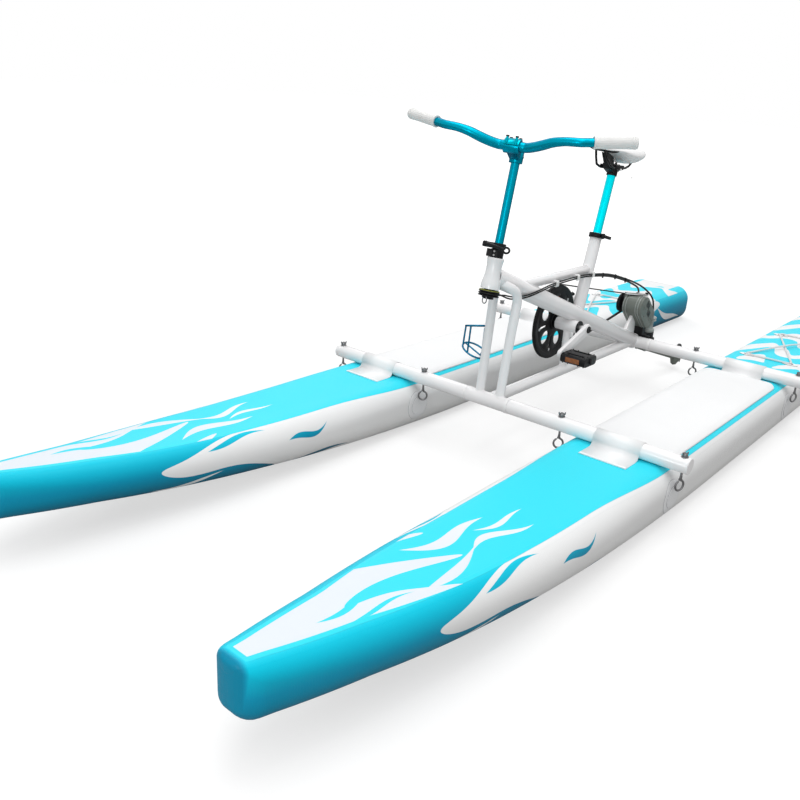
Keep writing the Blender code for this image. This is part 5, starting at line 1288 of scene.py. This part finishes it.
def saddle_shape():
    rounds, lengths = 56, 44
    bm = bmesh.new()
    bmesh.ops.create_grid(bm, x_segments=rounds, y_segments=lengths, size=1.0)
    for vert in bm.verts:
        turned = tau * (vert.co.x + 1) / 2 - pi / 2
        share = (vert.co.y + 1) / 2
        vert.co = saddle_point(0.5 - 0.5 * cos(pi * share), turned)
    bmesh.ops.remove_doubles(bm, verts=bm.verts, dist=1e-6)
    bmesh.ops.holes_fill(bm, edges=[e for e in bm.edges if e.is_boundary], sides=0)
    bmesh.ops.recalc_face_normals(bm, faces=bm.faces)
    under = [f for f in bm.faces if f.normal.z < -0.62 and f.calc_center_median().y < SHELL_END]
    bmesh.ops.inset_region(bm, faces=under, thickness=0.0015, depth=-0.0012, use_even_offset=True)
    for face in bm.faces:
        face.material_index = int(face.normal.z < -0.55 and face.calc_center_median().y < SHELL_END)
    return bm


saddle = piece(
    "saddle_cover", placed(saddle_shape(), BASE), [SADDLE_VINYL, BLACK_PLASTIC], "saddle", "seat", smooth=50,
)
# The seatpost takes the brightened turquoise, a painted highlight
piece(
    "seat_post_tube", placed(pipe(0.0127, -0.095, 0.184, 0.002, 56, 0.0005), SEAT), LIT_POST_TURQUOISE,
    "seatpost", "seat",
)
piece("saddle_clamp_black", from_cad("saddle_clamp", 0.0005), BLACK, "saddle_clamp", "seat")
piece("seat_collar_black", from_cad("seat_collar", 0.0005), BLACK, "seat_collar")
piece("seat_lever_black", from_cad("seat_lever", 0.0012), BLACK, "seat_lever", "seat_lever")
clamp_bolts = []
for x in (-0.0145, 0.0145):
    clamp_bolts.append(placed(socket_bolt(0.0036, 0.0032), BASE @ shift(x, 0.5455, 0.61)))
clamp_bolts.append(placed(rod(0.0032, -0.0285, 0.0285, 20, 0.0005), BASE @ shift(0, 0.545, 0.5985) @ ACROSS))
piece("saddle_clamp_bolts", joined(*clamp_bolts), STEEL, body="seat")
collar_pin = placed(rod(0.0036, 0.007, 0.0086, 24, 0.0005), SEAT @ shift(0.0298, -0.014, -0.0075))
piece("seat_collar_pin", collar_pin, STEEL)
print("seat done")

# %% [markdown]
# ## Cranks, chainring, belt and pedals
# A forged crank arm is a flat tapering bar with generous edges. It is a plate of its outline with a wide
# bevel and a low raised panel down its face. The right arm is one piece with the axle.

# %% Crank arms
UPRIGHT = Matrix(((0, 0, 1, 0), (1, 0, 0, 0), (0, 1, 0, 0), (0, 0, 0, 1)))
CRANK_TURN = {"left": 198, "right": 18}
CRANK_LENGTH = 0.15


def crank_arm(sign):
    outline = strap((0, 0), 0.017, (CRANK_LENGTH, 0), 0.012, 18)
    arm = plate(outline, 0.058, 0.07, 0.0032)
    panel = plate(strap((0.03, 0), 0.0062, (CRANK_LENGTH - 0.025, 0), 0.0042, 10), 0.0695, 0.0703, 0.0002)
    eye = mm((6.4, 69.8), (9.2, 69.8), (9.2, 70.8), (8.6, 71.2), (6.4, 71.2))
    eye = lathe(eye, 36, ring=True)
    cap = lathe(mm((0, 71.2), (3.6, 71.2), (3.6, 72.8), (9.8, 72.8), (10.6, 71.8), (10.6, 69), (0, 69)), 40)
    axle = rod(0.006, 0.068, 0.164, 32, 0.0006)
    flip = UPRIGHT if sign > 0 else MIRROR @ UPRIGHT
    shapes = [
        placed(arm, flip, 0), placed(panel, flip, 0), placed(eye, flip @ shift(CRANK_LENGTH, 0, 0), 1),
        placed(cap, flip, 2), placed(axle, flip @ shift(CRANK_LENGTH, 0, 0), 1),
    ]
    if sign < 0:
        shapes.append(placed(rod(0.0085, -0.07, 0.058, 32), flip, 1))
    return joined(*shapes)


for side, sign in HANDS:
    place = CRANK @ turn(CRANK_TURN[side], "X")
    piece(
        f"crank_arm_{side}", placed(crank_arm(sign), place), [CRANK_WHITE, STEEL, BLACK], f"crank_{side}",
        "crankset",
    )
print("cranks 150 mm, pedal axles 16 mm beyond")

# %% [markdown]
# The belt runs on a black ring: a web pierced by five ovals and five slots, a turned rim, a hub and a guard.
# Ninety-six small teeth stand round the rim; each is a plain box, because there are so many.

# %% Belt ring, belt and pulley
BELT_LINE = -0.05
RING = CRANK @ shift(BELT_LINE, 0, 0)
RING_TEETH, PULLEY_TEETH, ARMS = 96, 26, 5


def toothed(place, count, low, high):
    """A ring of plain teeth round X, between two corners of the first."""
    step = tau / count
    return [placed(box(low, high), place @ Matrix.Rotation(step * i, 4, "X")) for i in range(count)]


def pierced(outer, holes, low, high, rim):
    """A plate with holes: the loops are filled with triangles, then extruded."""
    bm = bmesh.new()
    for loop in [outer, *holes]:
        verts = [bm.verts.new((u, v, low)) for u, v in loop]
        for pair in zip(verts, verts[1:] + verts[:1]):
            bm.edges.new(pair)
    bmesh.ops.triangle_fill(bm, use_beauty=True, edges=bm.edges[:])
    push(bm, bmesh.ops.extrude_face_region(bm, geom=bm.faces[:]), (0, 0, high - low))
    return round_edges(bm, rim, 50)


holes = []
for i in range(ARMS):
    arm = pi / 2 + tau * (i + 0.35) / ARMS
    gap = arm + pi / ARMS
    middle = Vector((cos(gap), sin(gap)))
    sideways = Vector((-middle.y, middle.x))
    holes.append([(0.0625 + 0.0225 * u) * middle + 0.0185 * v * sideways for u, v in circle(1.0, 32)])
    inner, outer = [(r * cos(arm), r * sin(arm)) for r in (0.047, 0.077)]
    holes.append(strap(inner, 0.0032, outer, 0.0048, 10))
web = placed(pierced(circle(0.095, RING_TEETH), holes, -0.0027, 0.0027, 0.0006), RING @ UPRIGHT)
rim_part = placed(lathe(mm(
    (93.5, -3.4), (94, -3.8), (109.8, -3.8), (111.8, -5), (112.4, -4.4), (112.4, 4.4), (111.8, 5),
    (109.8, 3.8), (94, 3.8), (93.5, 3.4),
), RING_TEETH, ring=True), RING @ ACROSS)
hub = placed(rod(0.026, -0.0075, 0.0075, 48, 0.001), RING @ ACROSS)
guard = placed(lathe(mm(
    (98.5, 3.4), (111.8, 3.4), (112.4, 4), (112.2, 5), (100, 4.6), (98.5, 4),
), RING_TEETH, ring=True), RING @ ACROSS)
teeth = toothed(RING, RING_TEETH, (-0.0046, -0.0016, 0.11), (0.0046, 0.0016, 0.1128))
piece("belt_ring", joined(web, rim_part, hub, *teeth, guard), BLACK, "chainring", "crankset")
ring_bolts = []
for i in range(ARMS):
    spin = Matrix.Rotation(tau * (i + 0.35) / ARMS, 4, "X")
    for face in (1, -1):
        bolt = placed(socket_bolt(0.0042, 0.0022), turn(90 * face, "Y") @ shift(0, 0, 0.0028))
        ring_bolts.append(placed(bolt, RING @ spin @ shift(0, 0, 0.088)))
piece("belt_ring_bolts", joined(*ring_bolts), STEEL, body="crankset")
piece("toothed_belt", from_cad("belt", 0.0007), BLACK_RUBBER, "belt")
cogs = toothed(
    DRIVE @ shift(BELT_LINE, 0, 0), PULLEY_TEETH, (-0.0044, -0.0013, 0.029), (0.0044, 0.0013, 0.03055),
)
piece("small_pulley", joined(from_cad("drive_pulley", 0.0004), *cogs), BLACK, "drive_pulley", "drive_input")
print("belt ring:", RING_TEETH, "teeth, pulley:", PULLEY_TEETH)

# %% [markdown]
# The pedals are moulded platforms with an amber reflector on each long side. The reflector is a thin block
# set in a recess, with a fine ribbed face that its material adds.

# %% Pedals


def pedal_details():
    """Two reflectors in their rims, the studs, the bearing and its end cap."""
    shapes = []
    for side in (turn(0, "X"), turn(180, "X")):
        lens = box((0.1, -0.0362, -0.0068), (0.144, -0.0338, 0.0068), 0.0006)
        rim = box((0.097, -0.0357, -0.009), (0.147, -0.0335, 0.009), 0.0008)
        shapes += [placed(lens, side, 1), placed(rim, side, 0)]
    outer_rows, middle_rows = (-0.028, -0.009, 0.009, 0.028), (-0.028, 0.028)
    for x, rows in ((0.089, outer_rows), (0.1055, middle_rows), (0.1385, middle_rows), (0.155, outer_rows)):
        for y in rows:
            shapes.append(placed(rod(0.0019, -0.0147, 0.0147, 8, 0.0004), shift(x, y, 0), 0))
    bearing = mm((6.6, 83.2), (10.5, 83.2), (11, 84), (11, 160), (6.6, 160.5))
    shapes.append(placed(lathe(bearing, 28, ring=True), ACROSS, 0))
    shapes.append(placed(rod(0.0082, 0.159, 0.1652, 24, 0.0012), ACROSS, 0))
    return shapes


for side, place in (
    ("left", CRANK @ shift(0, -0.14266, -0.04635)),
    ("right", CRANK @ shift(0, 0.14266, 0.04635) @ turn(180, "Z")),
):
    details = placed(joined(*pedal_details()), place)
    shape = joined(placed(from_cad(f"pedal_{side}", 0.0016), paint=0), details)
    piece(f"platform_pedal_{side}", shape, [BLACK_PLASTIC, AMBER], f"pedal_{side}", f"pedal_{side}")
print("pedals done")

# %% [markdown]
# ## The drive
# Behind the seat tube a small pulley turns a pair of bevel gears in a cast case. The case and its cover are
# refined copies with wide rounded edges, as castings have. They carry ribs, screws and vent slots drawn as
# black plates of painted shade.

# %% Case, cover, latch and cradle
piece("gear_case", from_cad("drive_housing", 0.0012), CAST_GREY, "drive_housing")
cover = [placed(from_cad("drive_cover", 0.001), paint=0)]
CASE_TAIL = Vector((0.915 - 0.862, 0.085 - 0.132))
COVER_FACE, SCREW_CIRCLE, CASE_RADIUS = 0.0378, 0.0305, 0.0366
for i in range(6):
    spread = radians(38 + 58 * i)
    spot = Vector((SCREW_CIRCLE * cos(spread), SCREW_CIRCLE * sin(spread)))
    if spot.dot(CASE_TAIL) > 0.018:
        spot += CASE_TAIL
    cover.append(placed(socket_bolt(0.003, 0.0024), DRIVE @ shift(COVER_FACE, *spot) @ ACROSS, 0))
rim = mm((11, 37.8), (12.6, 37.8), (12.4, 38.9), (11.2, 38.9))
cover.append(placed(lathe(rim, 56, ring=True), DRIVE @ ACROSS, 0))
cover.append(placed(rod(0.0048, 0, 0.002, 6, 0.0048 * 0.15), DRIVE @ shift(COVER_FACE, 0, 0) @ ACROSS, 0))
for y, z in ((0.024, 0.004), (0.036, -0.026)):
    for step in (-1.5, -0.5, 0.5, 1.5):
        # Each vent is a thin black plate on the cover: painted shade for its opening
        vent_shade = plate(strap((0, -0.008), 0.0019, (0, 0.008), 0.0019, 8), 0.0376, 0.0386)
        place = DRIVE @ shift(0, y + step * 0.0062, z - step * 0.0044) @ turn(-25, "X") @ UPRIGHT
        cover.append(placed(vent_shade, place, 2))
piece(
    "gear_case_cover", joined(*cover), [CAST_GREY, CAST_LIGHT, BLACK], "drive_cover",
)
bands = []
for x in (-0.0268, -0.018, 0.018, 0.0268):
    band = plate(strap((0, 0), CASE_RADIUS, CASE_TAIL, CASE_RADIUS, 28), x - 0.0012, x + 0.0012, 0.0005)
    bands.append(placed(band, DRIVE @ UPRIGHT))
piece("gear_case_ribs", joined(*bands), CAST_LIGHT)

LATCH_REACH, LATCH_LENGTH, LATCH_TURN = 0.0328, 0.0656, radians(33)
LATCH = BASE @ shift(
    -LATCH_REACH * cos(LATCH_TURN), 0.862 - LATCH_REACH * sin(LATCH_TURN), 0.1715
) @ turn(33, "Z")
knob = lathe(mm((0, 3), (4.6, 3), (5.2, 3.6), (5.2, 6.8), (4, 7.8), (0, 7.8)), 32)
latch = [placed(from_cad("drive_latch", 0.0012), paint=0), placed(knob, LATCH @ shift(LATCH_LENGTH, 0, 0), 1)]
# Known fault: the second stud is copied after the first was moved, so it is moved twice and floats off the
# lever. The mend is to copy it before the first one moves.
stud = lathe(mm((0, 3), (3, 3), (3, 4.6), (1.8, 5.6), (0, 5.6)), 24)
placed(stud, LATCH @ shift(0.034, 0, 0.0012), 1)
latch += [stud, placed(stud.copy(), LATCH @ shift(0.016, 0, 0.0012), 1)]
for radius, low, high, rim, paint in (
    (0.0048, 0.0034, 0.0046, 0.0004, 0), (0.0072, -0.0033, -0.0024, 0.0003, 1),
    (0.0072, 0.0024, 0.0036, 0.0003, 1),
):
    band = plate(strap((0, 0), radius, (LATCH_LENGTH, 0), radius, 20), low, high, rim)
    latch.append(placed(band, LATCH, paint))
piece("case_latch", joined(*latch), [STEEL, BLACK], "drive_latch", "drive_latch")
piece("case_cradle", from_cad("drive_cradle", 0.0008), BLACK, "drive_cradle")
gear = frame["nodes"]["output_gear"]
if not gear.material_slots:
    gear.data.materials.append(STEEL)
gear.material_slots[0].material = STEEL
print("drive done")

# %% [markdown]
# ## Swivel, leg and propeller
# The swivel turns in the cradle when the cables pull its sheave, and the leg folds up under the rear tube.
# All three are refined copies, shaded smoothly.

# %% Propulsion
piece("swivel_body", from_cad("steering_swivel", 0.0006), CAST_LIGHT, "steering_swivel", "swivel")
piece("leg_casting", from_cad("propeller_leg", 0.0008), CAST_GREY, "propeller_leg", "leg")
piece("propeller_moulded", from_cad("propeller", 0.0005), PROP_BLACK, "propeller", "propeller", smooth=50)
print("propulsion done")

# %% [markdown]
# ## Steering cable
# One cable runs from a stop on the case, round the front of the pulley and back. It follows the CAD route
# with more points, so that it bends smoothly, and it is held along the brace by clips and small ties.

# %% Cable, ties and fittings
LANE, RING_RADIUS = 0.0215, 0.0255
wrap = []
for i in range(11):
    angle = radians(10 - 20 * i)
    around_pulley = Vector((RING_RADIUS * cos(angle), RING_RADIUS * sin(angle), PULLEY_PLACE))
    wrap.append(BASE.inverted() @ HEAD @ around_pulley)
upper = [
    (0.019, -0.002, 0.297), (0.015, 0.022, 0.2905), (0.015, 0.048, 0.285), (0.022, 0.078, 0.2835),
    (0.0285, 0.108, 0.286), (0.029, 0.15, 0.29), (0.026, 0.195, 0.2935), (LANE, 0.25, 0.296),
    (LANE, 0.388, 0.299), (LANE, 0.48, 0.293), (LANE, 0.59, 0.278), (0.0205, 0.706, 0.2495),
    (0.02, 0.81, 0.218), (0.021, 0.89, 0.185), (0.026, 0.94, 0.15),
]
lower = [(x, y, z - 0.0056) for x, y, z in upper[3:-3]]
lower = mm((-19, -2, 297), (-13, 22, 289), (2, 52, 276)) + lower
lower += mm((8, 815, 211), (-10, 890, 184), (-26, 940, 150))
stop_left, stop_right = Vector((0.028, 0.957, 0.0925)), Vector((-0.028, 0.957, 0.0925))
rise = Vector((0, 0, 0.02))
left_run = smooth_route([wrap[0], *upper, stop_left + rise, stop_left], 6)[1:]
right_run = smooth_route([wrap[-1], *lower, stop_right + rise, stop_right], 6)[1:]
whole_run = list(reversed(left_run)) + smooth_route(wrap, 3) + right_run
thick = [0.0021 + 0.0009 * min(1.0, max(0.0, (p.y - 0.4) / 0.12)) for p in whole_run]
cable = bent(whole_run, 0.003, 16, radii=thick)
piece("steering_cable_jacket", placed(cable, BASE), JACKET, "steering_cable")
print("cable points:", len(whole_run))


def tie_at(y, z, lean):
    """A small strap round both runs."""
    outline = strap((0, 0.0), 0.0038, (0, 0.0056), 0.0038, 10)
    band = placed(plate(outline, -0.0016, 0.0016, 0.0006), leaning(1, lean))
    knot = box((-0.0018, -0.0024, -0.0128), (0.0018, 0.0024, -0.0085), 0.0006)
    return placed(joined(band, knot), BASE @ shift(LANE, y, z))


ties = [tie_at(0.54, 0.2865, -0.14), tie_at(0.628, 0.2705, -0.22), tie_at(0.706, 0.2495, -0.28)]
piece("cable_ties", joined(*ties), BLACK_PLASTIC)
ferrules = []
for stop in (stop_left, stop_right):
    ferrule = lathe(mm(
        (3, 0), (5.2, 0), (5.6, 0.6), (5.6, 5), (4.8, 6.2), (4.4, 12), (3.7, 15), (3, 15.2),
    ), 28, ring=True)
    ferrules.append(placed(ferrule, BASE @ Matrix.Translation(stop)))
piece("cable_ferrules", joined(*ferrules), STEEL)
clips = []
for y, z in ((0.26, 0.2935), (0.38, 0.296), (0.472, 0.2936)):
    clip = plate(strap((0, -0.0028), 0.005, (0, 0.0052), 0.005, 8), -0.0055, 0.0055, 0.0008)
    clips.append(placed(clip, BASE @ shift(LANE, y, z + 0.0006) @ leaning(1, 0.02)))
piece("cable_clips", joined(*clips), WHITE_RUBBER)

# %% [markdown]
# ## Bottle cage
# The cage is anodised wire: a hoop that the camera sees edge-on over a sloping loop, with uprights between,
# and a flat strip that is screwed to the leg.

# %% Cage
CAGE_X, CAGE_Y, CAGE_TOP, CAGE_RADIUS = -0.082, 0.038, 0.185, 0.034
cage_low, cage_lean = CAGE_TOP - 0.058, -0.11 * 0.058
hoop, loop = [], []
for across, forth in circle(CAGE_RADIUS, 48):
    hoop.append(Vector((CAGE_X + across, CAGE_Y + forth, CAGE_TOP + 0.22 * across - 0.195 * forth)))
    loop.append(Vector((CAGE_X + across, CAGE_Y + forth + cage_lean, cage_low - 0.012 - 0.42 * across)))
wires = [bent(hoop, 0.0026, 12, closed=True), bent(loop, 0.0026, 12, closed=True)]
wires += [bent([loop[i], hoop[i]], 0.0025, 12) for i in (9, 27, 36)]
wires.append(bent([loop[24], loop[0]], 0.0022, 12))
strip_x = CAGE_X + CAGE_RADIUS - 0.0026
side_strip = [
    (CAGE_Y - 0.022, cage_low - 0.046), (CAGE_Y - 0.006, cage_low - 0.042),
    (CAGE_Y + 0.003, CAGE_TOP + 0.006), (CAGE_Y - 0.017, CAGE_TOP + 0.004),
]
wires.append(placed(plate(side_strip, strip_x, strip_x + 0.0045, 0.0008), UPRIGHT))
for z in (cage_low - 0.01, CAGE_TOP - 0.018):
    boss = rod(0.005, strip_x + 0.002, -0.04, 24, 0.0005)
    wires.append(placed(boss, shift(0, 0.0035 + 0.11 * z, z) @ ACROSS))
piece("bottle_cage_wire", placed(joined(*wires), BASE), DEEP_TURQUOISE, "bottle_cage")
print("cage done")
